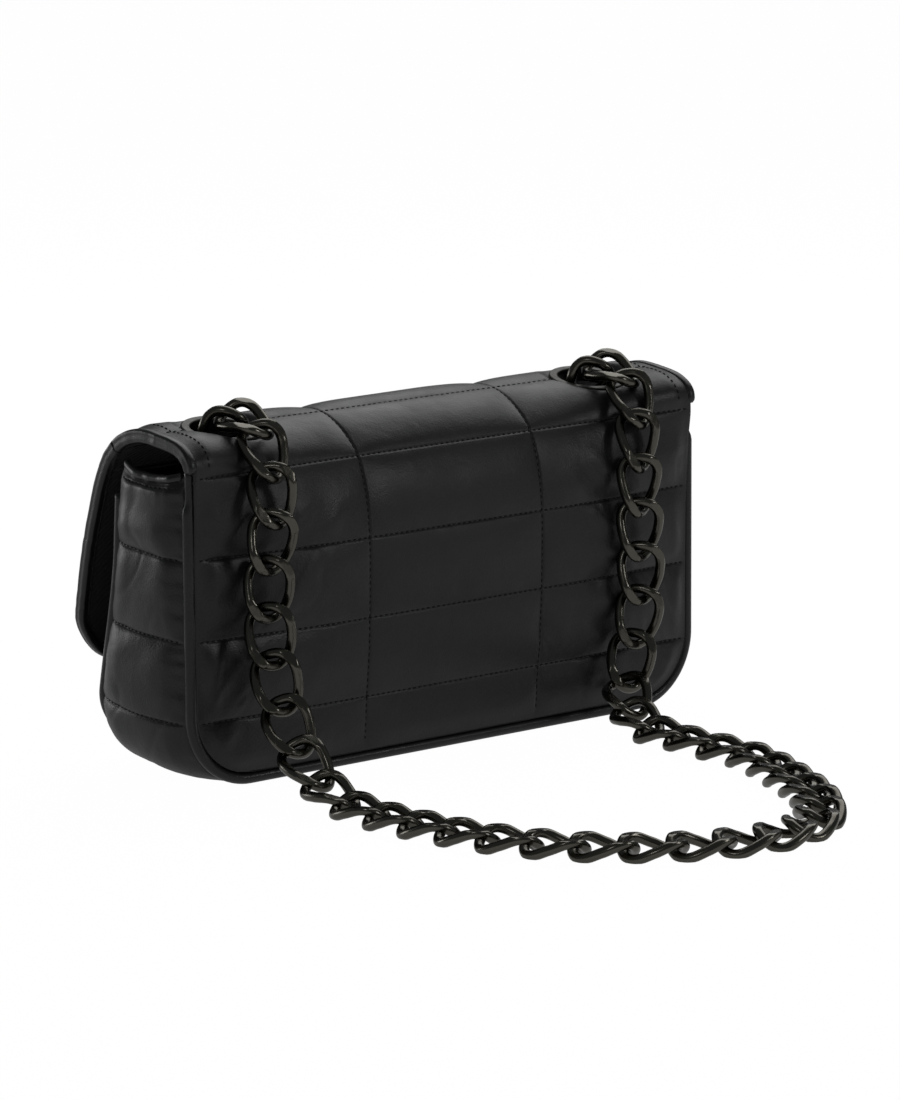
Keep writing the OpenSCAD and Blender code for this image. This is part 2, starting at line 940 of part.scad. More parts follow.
link_points = [
  for (i = [0 : link_rings - 1])
    each ring_points(360 * (i + 0.5) / link_rings)];

function mesh_place(i, k) = (i % link_rings) * link_sides + k % link_sides;

link_faces = [
  for (i = [0 : link_rings - 1])
    for (k = [0 : link_sides - 1])
      each [
        [mesh_place(i, k), mesh_place(i, k + 1), mesh_place(i + 1, k)],
        [mesh_place(i, k + 1), mesh_place(i + 1, k + 1), mesh_place(i + 1, k)]]];

module link() {
  polyhedron(points = link_points, faces = link_faces);
}

// A link at a place, along a way, with its flat side facing out
module placed_link(row) {
  p = row[0];
  t = row[1];
  n = row[2];
  s = cross(n, t);
  multmatrix([
    [t[0], s[0], n[0], p[0]],
    [t[1], s[1], n[1], p[1]],
    [t[2], s[2], n[2], p[2]],
    [0, 0, 0, 1]])
    link();
}

// Smooth route through rows of place, facing and turn
function blend(a, b, c, d, t) = (2 * b + (c - a) * t
  + (2 * a - 5 * b + 4 * c - d) * t * t
  + (3 * b - a - 3 * c + d) * t * t * t) / 2;

route_steps = 16;

function row_at(rows, i) =
  i < 0 ? 2 * rows[0] - rows[1]
  : i >= len(rows) ? 2 * rows[len(rows) - 1] - rows[len(rows) - 2]
  : rows[i];

function smooth(rows) = [
  for (i = [0 : len(rows) - 2])
    for (j = [0 : route_steps - 1])
      blend(row_at(rows, i - 1), row_at(rows, i), row_at(rows, i + 1),
        row_at(rows, i + 2), j / route_steps),
  rows[len(rows) - 1]];

function place_of(row) = [row[0], row[1], row[2]];
function step_of(line, i) = norm(place_of(line[i + 1]) - place_of(line[i]));
function lengths(line) = [
  for (i = 0, run = 0; i < len(line);
    run = run + (i < len(line) - 1 ? step_of(line, i) : 0), i = i + 1)
    run];

function find(runs, s, low, high) =
  high - low < 2 ? low
  : let (middle = floor((low + high) / 2))
    runs[middle] > s ? find(runs, s, low, middle)
    : find(runs, s, middle, high);

function at_run(line, runs, s) =
  let (held = max(0, min(runs[len(runs) - 1], s)))
  let (i = find(runs, held, 0, len(runs) - 1))
  let (part = (held - runs[i]) / (runs[i + 1] - runs[i]))
  line[i] + part * (line[i + 1] - line[i]);

// Links along a route: place, way and facing of each
function links_on(rows, pitch) =
  let (line = smooth(rows))
  let (runs = lengths(line))
  let (whole = runs[len(runs) - 1])
  let (count = round(whole / pitch))
  let (step = whole / count)
  [for (i = [0 : count])
    let (before = at_run(line, runs, i * step - step / 2))
    let (here = at_run(line, runs, i * step))
    let (after = at_run(line, runs, i * step + step / 2))
    let (t = unit(place_of(after) - place_of(before)))
    let (facing = [here[3], here[4], here[5]])
    let (n = unit(facing - t * (facing * t)))
    let (y = cross(n, t))
    let (turned = n * cos(here[6]) + y * sin(here[6]))
    let (ends = i == 0 || i == count)
    [ends ? place_of(here) : (place_of(before) + place_of(after)) / 2,
      t, turned]];

function strap_row(row) = concat(
  [row[0] * eyelet_x,
    drop_y + row[1] * loop_reach,
    floor_z + row[2] * (first_z - floor_z)],
  [row[3], row[4], row[5], row[6]]);

function first_row_at(side) = concat(
  [side * eyelet_x + first_side, eyelet_back + first_back, first_z],
  [0, 0, 1, side * leave_turn]);

// The strap's two end links swing on the standing links
function first_link(side) =
  let (t = [0, cos(first_fall), -sin(first_fall)])
  let (n = [0, sin(first_fall), cos(first_fall)])
  [place_of(first_row_at(side)), t,
    n * cos(first_roll) + cross(n, t) * sin(first_roll)];

strap_rows = concat(
  [first_row_at(1)],
  [for (row = strap_shares) strap_row(row)],
  [first_row_at(-1)]);

stand_facing = [0, cos(stand_lean), -sin(stand_lean)];
stand_y = eyelet_back + stand_back;
stand_z = eyelet_z - stand_sink;

function stand_row(side) = concat(
  [side * eyelet_x + stand_side, stand_y, stand_z],
  stand_facing, [-side * stand_roll]);

inner_rows = concat(
  [stand_row(1)],
  [for (row = inner_shares) concat(
    [row[0] * eyelet_x,
      stand_y - row[1] * inner_shift,
      stand_z - row[2] * inner_sag],
    stand_facing, [row[3]])],
  [stand_row(-1)]);

inner_pitch = link_pitch - link_play;
strap_route = links_on(strap_rows, link_pitch);
strap_links = concat(
  [first_link(1)],
  [for (i = [1 : len(strap_route) - 2]) strap_route[i]],
  [first_link(-1)]);
inner_links = links_on(inner_rows, inner_pitch);
strap_count = len(strap_links);
inner_count = len(inner_links);

// Where the strap's stretches end, as shares of its links
drop_share = 0.24;
left_floor_share = 0.435;
loop_share = 0.58;
right_floor_share = 0.775;

module strap_stretch(from, to) {
  first = round(from * strap_count);
  last = round(to * strap_count) - 1;
  color([0.2, 0.2, 0.19])
    for (i = [first : last])
      placed_link(strap_links[i]);
}

// A standing link is turned so that its wire crosses the next one's
module stand_link(side) {
  t = [0, sin(stand_lean), cos(stand_lean)];
  n = stand_facing * cos(stand_roll) + cross(stand_facing, t) * sin(stand_roll);
  color([0.2, 0.2, 0.19])
    placed_link([[side * eyelet_x + stand_side, stand_y, stand_z], t, n]);
}

module left_eyelet_link() {
  stand_link(1);
}

module right_eyelet_link() {
  stand_link(-1);
}

module left_drop_links() {
  strap_stretch(0, drop_share);
}

module left_floor_links() {
  strap_stretch(drop_share, left_floor_share);
}

module loop_end_links() {
  strap_stretch(left_floor_share, loop_share);
}

module right_floor_links() {
  strap_stretch(loop_share, right_floor_share);
}

module right_drop_links() {
  strap_stretch(right_floor_share, 1);
}

module inner_run_links() {
  color([0.2, 0.2, 0.19])
    for (i = [1 : inner_count - 2])
      placed_link(inner_links[i]);
}

back_panel();
front_panel();
left_gusset();
base_strip();
right_gusset();
back_piping();
front_piping();
left_gusset_hem();
right_gusset_hem();
front_top_binding();
lining();
slip_pocket();
base_board();
flap_root();
flap_root_lining();
flap_root_binding();
flap_top();
flap_top_lining();
flap_top_binding();
flap_front();
flap_front_lining();
flap_front_binding();
left_eyelet();
left_eyelet_washer();
right_eyelet();
right_eyelet_washer();
snap_stud();
snap_stud_washer();
snap_socket();
snap_socket_washer();
left_eyelet_link();
right_eyelet_link();
left_drop_links();
left_floor_links();
loop_end_links();
right_floor_links();
right_drop_links();
inner_run_links();
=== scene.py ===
# %% [markdown]
# # A quilted leather shoulder bag with a curb chain
# The bag's exact frame comes first: every body, joint and hard part at its true
# place in metres. Leather, lining, thread and chain are then built over it.

# %% Load the frame
import bpy
import math
import numpy as np
from mathutils import Matrix


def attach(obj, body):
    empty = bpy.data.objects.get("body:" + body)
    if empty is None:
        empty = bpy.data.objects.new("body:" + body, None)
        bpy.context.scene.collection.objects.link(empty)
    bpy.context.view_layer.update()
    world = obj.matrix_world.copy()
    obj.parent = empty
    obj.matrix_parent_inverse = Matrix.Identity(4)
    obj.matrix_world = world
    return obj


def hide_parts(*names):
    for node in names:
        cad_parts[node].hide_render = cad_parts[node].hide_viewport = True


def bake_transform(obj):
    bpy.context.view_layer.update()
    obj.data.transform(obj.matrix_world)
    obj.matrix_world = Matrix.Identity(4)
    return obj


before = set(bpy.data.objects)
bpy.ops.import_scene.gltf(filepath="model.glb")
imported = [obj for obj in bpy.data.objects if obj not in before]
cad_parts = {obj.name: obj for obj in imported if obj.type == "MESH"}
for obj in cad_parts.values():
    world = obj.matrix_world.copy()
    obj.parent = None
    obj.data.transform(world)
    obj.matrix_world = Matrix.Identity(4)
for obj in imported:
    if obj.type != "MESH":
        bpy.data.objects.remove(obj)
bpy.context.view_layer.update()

# %% [markdown]
# ## The camera
# The photograph looks at the back and one end of the bag from a little above, with
# a long lens. The view was solved from the bag's own edges, so the camera is placed
# by its position and its three turns instead of being aimed by eye.

# %% Camera
def placed(name, data):
    """A new object in the scene."""
    thing = bpy.data.objects.new(name, data)
    bpy.context.scene.collection.objects.link(thing)
    return thing


camera_place = (1.2639, 1.6167, 0.4825)
focal_pixels, photo_width, sensor_mm = 5228.4, 900.0, 36.0
yaw, pitch, roll = (math.radians(v) for v in (38.501, 11.219, -0.396))
look = np.array((-math.sin(yaw) * math.cos(pitch),
                 -math.cos(yaw) * math.cos(pitch), -math.sin(pitch)))
right = np.array((-math.cos(yaw), math.sin(yaw), 0.0))
up = np.cross(right, look)
right, up = (math.cos(roll) * right + math.sin(roll) * up,
             math.cos(roll) * up - math.sin(roll) * right)
camera_data = bpy.data.cameras.new("camera")
camera_data.sensor_fit = "HORIZONTAL"
camera_data.sensor_width = sensor_mm
camera_data.lens = focal_pixels * sensor_mm / photo_width
camera_data.clip_start = 0.1
camera = placed("camera", camera_data)
turn = Matrix((right, up, -look)).transposed().to_4x4()
camera.matrix_world = Matrix.Translation(camera_place) @ turn
bpy.context.scene.camera = camera
print("lens", round(camera_data.lens, 1), "mm")

# %% [markdown]
# ## Colours and nodes
# Colours are written as the hex values that a screen shows. Blender calculates with
# linear light, so one function turns them over. Another adds a shader node with its
# settings and links, so that each material below reads like a recipe. A link named _0
# goes to the node's first socket, and Base_Color to the one with that name.

# %% Colour and node helpers
def linear(hex_colour):
    values = [int(hex_colour[i:i + 2], 16) / 255 for i in (1, 3, 5)]
    return [v / 12.92 if v <= 0.04045 else ((v + 0.055) / 1.055) ** 2.4
            for v in values] + [1.0]


def set_node(tree, node, settings=None, **links):
    for name, value in (settings or {}).items():
        if isinstance(name, str) and hasattr(node, name):
            setattr(node, name, value)
        else:
            node.inputs[name].default_value = value
    for name, source in links.items():
        socket = int(name[1:]) if name[0] == "_" else name.replace("_", " ")
        tree.links.new(source, node.inputs[socket])
    return node


def add_node(tree, kind, settings=None, **links):
    return set_node(tree, tree.nodes.new("ShaderNode" + kind), settings, **links)


def new_material(name):
    material = bpy.data.materials.new(name)
    material.use_nodes = True
    tree = material.node_tree
    surface = tree.nodes["Principled BSDF"]
    place = add_node(tree, "TexCoord").outputs["Object"]
    return material, tree, surface, place


print("the grey #808080 is", round(linear("#808080")[0], 3), "in linear light")

# %% [markdown]
# ## Lambskin
# The shell is black lambskin: soft, thin and drum-dyed, with a light satin finish. Its
# grain is fine, about 0.7 mm, and is drawn at that size. The padding gives it shallow
# creases, and wear makes its roughness drift over a few centimetres.

# %% Lambskin material
def lambskin(name, colour, dark, roughness, grain_mm, crease, depth):
    material, tree, surface, place = new_material(name)
    grain = add_node(tree, "TexVoronoi",
                     {"Scale": 1000 / grain_mm, "Randomness": 1.0}, Vector=place)
    cloud = add_node(tree, "TexNoise",
                     {"Scale": 45.0, "Detail": 4.0, "Roughness": 0.55}, Vector=place)
    folds = add_node(tree, "TexNoise",
                     {"Scale": 170.0, "Detail": 3.0, "Distortion": 0.6}, Vector=place)
    tone = add_node(tree, "Mix",
                    {"data_type": "RGBA", 6: linear(dark), 7: linear(colour)},
                    Factor=cloud.outputs["Fac"])
    shine = add_node(tree, "MapRange",
                     {"From Min": 0.3, "From Max": 0.7,
                      "To Min": roughness - 0.06, "To Max": roughness + 0.07},
                     Value=cloud.outputs["Fac"])
    low = add_node(tree, "Bump",
                   {"Strength": crease, "Distance": 0.0012},
                   Height=folds.outputs["Fac"])
    high = add_node(tree, "Bump",
                    {"Strength": depth, "Distance": 0.00025},
                    Height=grain.outputs["Distance"], Normal=low.outputs["Normal"])
    set_node(tree, surface, {"IOR": 1.48, "Sheen Weight": 0.04, "Sheen Roughness": 0.5},
             Base_Color=tone.outputs[2], Roughness=shine.outputs["Result"],
             Normal=high.outputs["Normal"])
    return material


quilted_lambskin = lambskin("quilted lambskin", "#181718", "#131213",
                            0.42, 0.7, 0.12, 0.20)
binding_lambskin = lambskin("binding lambskin", "#151415", "#101010",
                            0.33, 0.6, 0.10, 0.18)
print("leathers", quilted_lambskin.name, "and", binding_lambskin.name)

# %% [markdown]
# ## Lining, thread and board
# The lining is a black polyester twill, rough and without gloss. Its slanting ribs are
# drawn 1.8 mm apart, about three times as coarse as real ones, so that they show. The
# thread is black bonded polyester; its colour is set darker than the leather as painted
# shade of the stitch holes, so a seam reads as a row of dark dashes. The board in the
# base is grey fibre.

# %% Lining, thread and board materials
def woven(name, colour, dark, rib_mm, sheen=0.15):
    material, tree, surface, place = new_material(name)
    wave = add_node(tree, "TexWave",
                    {"wave_type": "BANDS", "bands_direction": "DIAGONAL",
                     "Scale": 363 / rib_mm, "Distortion": 0.4},
                    Vector=place)
    tone = add_node(tree, "Mix",
                    {"data_type": "RGBA", 6: linear(dark), 7: linear(colour)},
                    Factor=wave.outputs["Fac"])
    relief = add_node(tree, "Bump", {"Strength": 0.4, "Distance": 0.0002},
                      Height=wave.outputs["Fac"])
    set_node(tree, surface, {"Roughness": 0.8, "Sheen Weight": sheen},
             Base_Color=tone.outputs[2], Normal=relief.outputs["Normal"])
    return material


twill = woven("polyester twill", "#161617", "#0c0c0d", 1.83)
# the thread's own black, deepened as painted shade of the stitch holes
thread = woven("bonded thread", "#0f0e0f", "#080808", 1.14, sheen=0.0)
fibreboard = woven("grey fibreboard", "#5a5753", "#4b4844", 2.74)
print("cloth and board", ", ".join(m.name for m in (twill, thread, fibreboard)))

# %% [markdown]
# ## Black nickel
# The chain and the eyelets are steel plated with black nickel, a metal with a dark,
# slightly warm tone. Links are painted paler in their inner bends: partly wear where
# they rub, and partly a painted highlight that stands in for glints. Fine scratches
# spread its highlights. A metal keeps the default IOR. The eyelets and the snap are
# hardly rubbed: they keep a duller satin, a little paler at their edges.

# %% Black nickel material
def plated(name, colour, worn_and_glint, roughness, rub_and_glint_end):
    material, tree, surface, place = new_material(name)
    smear = add_node(tree, "TexNoise",
                     {"Scale": 260.0, "Detail": 5.0, "Roughness": 0.6}, Vector=place)
    scratch = add_node(tree, "TexNoise",
                       {"Scale": 1400.0, "Detail": 2.0, "Distortion": 1.2},
                       Vector=place)
    geometry = add_node(tree, "NewGeometry")
    # painted highlight and wear: the pale colour goes where pointiness picks out the
    # bends
    bend = add_node(tree, "MapRange",
                    {"From Min": 0.5, "From Max": rub_and_glint_end, "To Min": 0.0, "To Max": 0.9},
                    Value=geometry.outputs["Pointiness"])
    wear_and_glint = add_node(tree, "Math", {"operation": "MULTIPLY"},
                    _0=bend.outputs["Result"], _1=smear.outputs["Fac"])
    tone = add_node(tree, "Mix",
                    {"data_type": "RGBA", 6: linear(colour), 7: linear(worn_and_glint)},
                    Factor=wear_and_glint.outputs["Value"])
    shine = add_node(tree, "MapRange",
                     {"From Min": 0.3, "From Max": 0.7,
                      "To Min": roughness - 0.06, "To Max": roughness + 0.08},
                     Value=smear.outputs["Fac"])
    relief = add_node(tree, "Bump", {"Strength": 0.08, "Distance": 0.0001},
                      Height=scratch.outputs["Fac"])
    set_node(tree, surface, {"Metallic": 1.0}, Base_Color=tone.outputs[2],
             Roughness=shine.outputs["Result"], Normal=relief.outputs["Normal"])
    return material


hollows, ridges = 0.4, 0.6
# its pale second colour is partly wear in the bends and partly a painted highlight
black_nickel = plated("black nickel", "#5c5a53", "#b5b0a3", 0.22, hollows)
satin_nickel = plated("satin black nickel", "#3b3a37", "#5a5852", 0.40, ridges)
for node_name, node_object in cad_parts.items():
    hard = any(word in node_name for word in ("eyelet", "snap", "link"))
    chosen = black_nickel if hard else fibreboard
    if node_name.endswith(("eyelet", "washer", "stud", "socket")):
        chosen = satin_nickel
    node_object.data.materials.clear()
    node_object.data.materials.append(chosen)
print("metals", black_nickel.name, "and", satin_nickel.name)

# %% [markdown]
# ## Curves and soft noise
# A leather panel follows a few measured points, so the first tool is a smooth curve
# through knots. Padding and creases need a soft random height that is the same on every
# run: a small grid of fixed random numbers, blended smoothly.

# %% Curve and noise helpers
def smooth_curve(knots, values, at):
    slope = np.gradient(values, knots, axis=0)
    at = np.clip(at, knots[0], knots[-1])
    i = np.clip(np.searchsorted(knots, at) - 1, 0, len(knots) - 2)
    h = knots[i + 1] - knots[i]
    t, h = ((at - knots[i]) / h)[..., None], h[..., None]
    return ((2 * t**3 - 3 * t**2 + 1) * values[i]
            + (t**3 - 2 * t**2 + t) * h * slope[i]
            + (3 * t**2 - 2 * t**3) * values[i + 1]
            + (t**3 - t**2) * h * slope[i + 1])


def ease(value):
    value = np.clip(value, 0, 1)
    return value * value * (3 - 2 * value)


def signed_power(value, power):
    return np.sign(value) * np.abs(value)**power


def soft_noise(a, b, seed):
    table = np.random.default_rng(seed).uniform(-1, 1, (64, 64))
    ia, ib = np.floor(a).astype(int), np.floor(b).astype(int)
    ta, tb = ease(a - ia), ease(b - ib)
    pick = lambda i, j: table[i % 64, j % 64]
    low = pick(ia, ib) * (1 - ta) + pick(ia + 1, ib) * ta
    high = pick(ia, ib + 1) * (1 - ta) + pick(ia + 1, ib + 1) * ta
    return low * (1 - tb) + high * tb


print("noise sample", round(float(soft_noise(0.5, 0.5, 1)), 3))

# %% [markdown]
# ## Meshes from surfaces
# Every panel here is a surface with two directions, so a grid of points is the natural
# mesh. One function joins an outer and an inner grid into a closed sheet of leather,
# and another runs a section along a path, for piping, bound edges and wire.

# %% Mesh helpers
def make_piece(name, points, faces, body, material, slot, replaced=()):
    """A mesh from millimetres that rides on a body; given a bend between two, it stays
    where it is built.
    """
    mesh = bpy.data.meshes.new(name)
    mesh.from_pydata((np.asarray(points) / 1000).tolist(), [], faces)
    mesh.materials.append(material)
    mesh.polygons.foreach_set("use_smooth", [True] * len(mesh.polygons))
    mesh.update()
    piece = placed(name, mesh)
    if isinstance(body, tuple):
        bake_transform(piece)
    else:
        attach(piece, body)
    if replaced:
        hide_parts(*replaced)
    return piece


def grid_quads(rows, columns):
    starts = (i * columns + j for i in range(rows - 1) for j in range(columns - 1))
    return [(a, a + columns, a + columns + 1, a + 1) for a in starts]


def tube_faces(rings, sides, start=0, closed=False):
    """Quads between rings of points; an open tube gets its two end caps."""
    faces = []
    for i in range(rings if closed else rings - 1):
        a, b = start + i * sides, start + (i + 1) % rings * sides
        for j in range(sides):
            k = (j + 1) % sides
            faces.append((a + j, a + k, b + k, b + j))
    if not closed:
        last = start + (rings - 1) * sides
        faces.append(tuple(range(start + sides - 1, start - 1, -1)))
        faces.append(tuple(range(last, last + sides)))
    return faces


def unit(vectors):
    return vectors / np.maximum(np.linalg.norm(vectors, axis=-1, keepdims=True), 1e-9)


def run_along(path):
    """The length walked to each point of a path."""
    steps = np.linalg.norm(np.diff(path, axis=0), axis=1)
    return np.concatenate([[0], np.cumsum(steps)])


def closed_sheet(outer, inner, holes=None):
    """Two grids of points, walled round the rim and round the quads left out."""
    quads = grid_quads(*outer.shape[:2])
    if holes is not None:
        quads = [quad for quad, hole in zip(quads, holes.ravel()) if not hole]
    edges, count = {}, outer.size // 3
    for quad in quads:
        for edge in zip(quad, quad[1:] + quad[:1]):
            edges[frozenset(edge)] = None if frozenset(edge) in edges else edge
    walls = [(b, a, a + count, b + count) for a, b in filter(None, edges.values())]
    faces = quads + [tuple(v + count for v in quad[::-1]) for quad in quads] + walls
    return np.concatenate([outer, inner]).reshape(-1, 3), faces


def swept(path, side, lift, section, closed=False):
    """Rings of a section along a path; side and lift are its two directions."""
    side, lift = np.atleast_2d(side), np.atleast_2d(lift)
    rings = (path[:, None] + section[None, :, :1] * side[:, None]
             + section[None, :, 1:] * lift[:, None])
    faces = tube_faces(*rings.shape[:2], closed=closed)
    if (np.cross(side, lift) * np.gradient(path, axis=0)).sum() < 0:
        faces = [face[::-1] for face in faces]
    return rings.reshape(-1, 3), faces


def round_section(radius, sides, flat=1.0):
    turn = np.linspace(0, 2 * np.pi, sides, endpoint=False)
    return np.stack([radius * np.cos(turn), radius * flat * np.sin(turn)], 1)


print("a tube of 3 rings of 4 points has", len(tube_faces(3, 4)), "faces")


# %% [markdown]
# ## The quilt
# Rows of stitching cross the leather every 32 mm, and two upright seams cut the rows
# into cells. Foam behind the skin lifts each cell, steeply beside a seam and nearly
# flat in its middle. The thread bites a narrow groove into the valley, and short folds
# run out from it. The mesh gets extra points beside each seam, because a groove 1 mm
# wide would fall between evenly spaced ones.

# %% Quilt relief
row_seams = (27.0, 59.0, 91.0)
upright_seams = (-43.5, 43.5)


def nearest(value, seams):
    return np.min(np.abs(value[..., None] - seams), axis=-1)


def seam_groove(distance, depth=0.3, width=0.5):
    return -depth * np.exp(-(distance / width)**2)


def beside(seams, offsets=(-2.2, -1.2, -0.7, -0.35, 0, 0.35, 0.7, 1.2, 2.2)):
    return (np.array(seams)[:, None] + offsets).ravel()


def quilt(x, s, rows, rise, seed, wrinkle=1.0):
    from_row = nearest(s, rows)
    from_upright = nearest(x, upright_seams)
    puff = (1 - np.exp(-from_row / 6.5)) * (1 - np.exp(-from_upright / 7.0))
    fold = (soft_noise(x / 5.5, s / 22, seed) * np.exp(-from_row / 7)
            + soft_noise(x / 26, s / 5.5, seed + 1) * np.exp(-from_upright / 8))
    calm = (soft_noise(x / 30, s / 17, seed + 2)
            + 0.4 * soft_noise(x / 15, s / 10, seed + 3))
    gather = np.minimum(1, np.minimum(from_row, from_upright) / 1.6)
    return (rise * puff + 0.36 * wrinkle * fold * gather + 0.24 * calm * puff
            + seam_groove(from_row) + seam_groove(from_upright))


def rounded_half(height, half, corner):
    """Half the width at a height: straight sides over round corners."""
    drop = np.clip(corner - height, 0, corner)
    return half - corner + np.sqrt(np.maximum(corner**2 - drop**2, 0))


print("a seam's groove is", -round(float(seam_groove(0.0)), 2), "mm deep")

# %% [markdown]
# ## Back, roll and flap
# One skin runs up the back, rolls over the top and hangs in front as the flap. In the
# middle it swells outward; at the ends it is drawn in by the piping and then stands up
# square, because the flap's bound edge is stiff. Two side views are blended: a row
# gives a length along the skin, then y and z in the middle and at the ends.

# %% Skin surface
skin_views = np.array([
    (4.8, 27.6, 4.8, 27.4, 4.8), (14, 28.6, 14, 27.4, 14), (27, 29.6, 27, 27.4, 27),
    (43, 31.3, 43, 27.4, 43), (59, 32.2, 59, 27.4, 59), (75, 32.7, 75, 27.5, 75),
    (91, 32.6, 91, 27.7, 91), (104, 31.2, 104, 28.2, 104), (114, 28.8, 114, 28.9, 114),
    (123, 25.2, 122.6, 29.6, 123), (131, 20.2, 127.9, 28.6, 130.2),
    (140, 12.4, 133.3, 21.5, 135.4), (150, 3.0, 136.9, 7.0, 137.7),
    (157, -4.0, 137.5, -1.5, 138.2), (164, -11.0, 136.7, -9.0, 137.2),
    (171, -16.6, 134.9, -16.2, 134.8), (178, -21.6, 132.2, -22.0, 131.3),
    (185, -26.6, 128.1, -27.2, 126.2), (193, -31.6, 121.8, -31.0, 120.4),
    (203, -35.2, 112.5, -35.2, 111.2), (218, -37.0, 97.6, -40.3, 96.6),
    (234, -38.9, 81.7, -44.6, 81.3), (250, -40.6, 65.8, -48.0, 66.2),
    (266, -42.2, 49.9, -50.0, 51.0), (277, -43.2, 38.9, -49.6, 39.6)])
skin_rows = (27.0, 59.0, 91.0, 123.0, 151.0, 192.5, 224.5, 256.5)
roll_row = skin_rows[4]
skin_start, fall_start, skin_end, skin_tip = 4.8, 178.0, 276.6, 277.0
back_half, back_corner, flap_corner = 124.4, 26.5, 22.0


def skin_half(s):
    """Half the width: round lower corners, the square flap, then its round foot."""
    return (rounded_half(s - skin_start, back_half, back_corner)
            + 0.4 * ease((s - 108) / 14) + rounded_half(skin_tip - s, 0, flap_corner))


def rim_fade(inset, s):
    """1 over the skin, and down to 0 at its four edges."""
    return ease(inset / 9) * ease((s - 3.5) / 10) * ease((skin_tip - s) / 8)


def skin_base(across, s):
    x = across * skin_half(s)
    weight = ease((np.abs(x) - 52) / 76)**1.25
    views = smooth_curve(skin_views[:, 0], skin_views[:, 1:], s)
    yz = views[..., :2] * (1 - weight)[..., None] + views[..., 2:] * weight[..., None]
    return np.concatenate([x[..., None], yz], axis=-1)


def skin_points(across, s):
    base, step = skin_base(across, s), 0.01
    over = skin_base(across, s + step) - skin_base(across, s - step)
    side = skin_base(across + step, s) - skin_base(across - step, s)
    normal = unit(np.cross(over, side))
    x, half = base[..., 0], skin_half(s)
    ends = ease((np.abs(x) - 45) / 40) * ease((118 - s) / 20)
    hollow = np.exp(-((x + 58) / 22)**2 - ((s - 42) / 20)**2)
    roll = ease((s - 121) / 6) * ease((185 - s) / 20)
    lift = quilt(x, s, skin_rows, rise=1.5 + 0.9 * ends + 0.5 * roll, seed=11,
                 wrinkle=0.3 + 0.9 * ends + 0.9 * hollow)
    slant = soft_noise((np.abs(x) + 0.8 * s) / 10, (np.abs(x) - s) / 38, 19)
    crease = 1.0 * slant - 0.5 * np.exp(-(slant / 0.13)**2)
    lift = lift + ((ends + 0.7 * hollow) * (crease + 0.4)
                   * (1 - np.exp(-nearest(s, skin_rows) / 6)))
    lift = (lift - 0.7 * seam_groove(s - roll_row)) * rim_fade(half - np.abs(x), s)
    return base + normal * lift[..., None], normal


print("skin", skin_end - skin_start, "mm long,", 2 * back_half, "mm wide")

# %% [markdown]
# The metal clamps the skin flat round each eyelet, so the skin dips into a round seat
# there, with a hole in its middle.

# %% Eyelet seats
arch_radius, arch_centre = 36.5, 101
seat_depth, seat_radius, bore_radius, lining_bore = 2.7, 20.5, 12.9, 16.6
eyelet_x, eyelet_tilt = 92.5, math.asin(6 / arch_radius)
eyelet_place = np.array((0, 2.0, arch_centre + arch_radius * math.cos(eyelet_tilt)))
eyelet_up = np.array((0, math.sin(eyelet_tilt), math.cos(eyelet_tilt)))


def eyelet_offsets(points):
    """Height over and distance from the nearer eyelet's axis."""
    points = np.asarray(points, float)
    side = np.where(points[..., :1] < 0, -1.0, 1.0)
    centre = eyelet_place + side * (eyelet_x, 0, 0)
    offset = points - centre
    height = offset @ eyelet_up
    return height, np.linalg.norm(offset - height[..., None] * eyelet_up, axis=-1)


def seat_eyelets(points):
    height, flat = eyelet_offsets(points)
    near = ease((seat_radius - flat) / 5.5) * (points[..., 2] > 110)
    return points + ((-seat_depth - height) * near)[..., None] * eyelet_up


def bored(grid, radius):
    """Which quads of a grid lie in an eyelet's hole."""
    middles = (grid[:-1, :-1] + grid[1:, :-1] + grid[:-1, 1:] + grid[1:, 1:]) / 4
    return (eyelet_offsets(middles)[1] < radius) & (middles[..., 2] > 110)


def over_arch(degrees, radius=0.0326):
    """A point on the flap's bend, in metres, at an angle forward of straight up."""
    turn = math.radians(degrees)
    return (0, -0.004 - radius * math.sin(turn), 0.1055 + radius * math.cos(turn))


first_bend = ("bag", "flap_bend", (0, -0.0113, 0.1365), (0, -0.0188, 0.1365))
second_bend = ("flap_bend", "flap", over_arch(38), over_arch(52))
print("eyelets at x", eyelet_x, "and z", round(float(eyelet_place[2]), 1), "mm")

# %% [markdown]
# The skin is a closed sheet about 2.6 mm thick, quilted outside and smooth inside, with
# a lining under the flap. The stretch over the top is given the first hinge, from the
# bag, and the fall the second, but neither bends: both stay where they are built. The
# first bend is measured level, towards the front, so that the foot of the back panel
# stays on the bag's side.

# %% Skin and lining pieces
whole = np.unique(np.concatenate([np.linspace(skin_start, fall_start, 152),
                                  np.linspace(fall_start, skin_end, 92),
                                  beside(skin_rows)]))
columns = np.unique(np.concatenate([np.linspace(-1, 1, 231),
                                    beside(upright_seams) / skin_half(75.0)]))
across_grid, along_grid = np.meshgrid(columns, whole)
skin_outer, skin_normal = skin_points(across_grid, along_grid)
skin_outer = seat_eyelets(skin_outer)
backing = 0.9 * rim_fade(skin_half(along_grid) - np.abs(skin_outer[..., 0]), along_grid)
skin_backing = seat_eyelets(skin_base(across_grid, along_grid)
                            + skin_normal * backing[..., None])
skin_in = unit(np.cross(*np.gradient(skin_backing, axis=(0, 1))))
lining_row, edge_row, fall_row = (int(np.argmin(np.abs(whole - s)))
                                  for s in (118, 125, fall_start))


def skin_piece(name, rows, bend, hole, replaced, lining=False):
    backing, inward = skin_backing[rows], skin_in[rows]
    outer = backing - inward * 2.9 if lining else skin_outer[rows]
    inner = backing - inward * (3.9 if lining else 2.6)
    finish = (twill, "lining") if lining else (quilted_lambskin, "leather")
    piece = make_piece(name, *closed_sheet(outer, inner, bored(outer, hole)), bend,
                       *finish, replaced)
    return piece


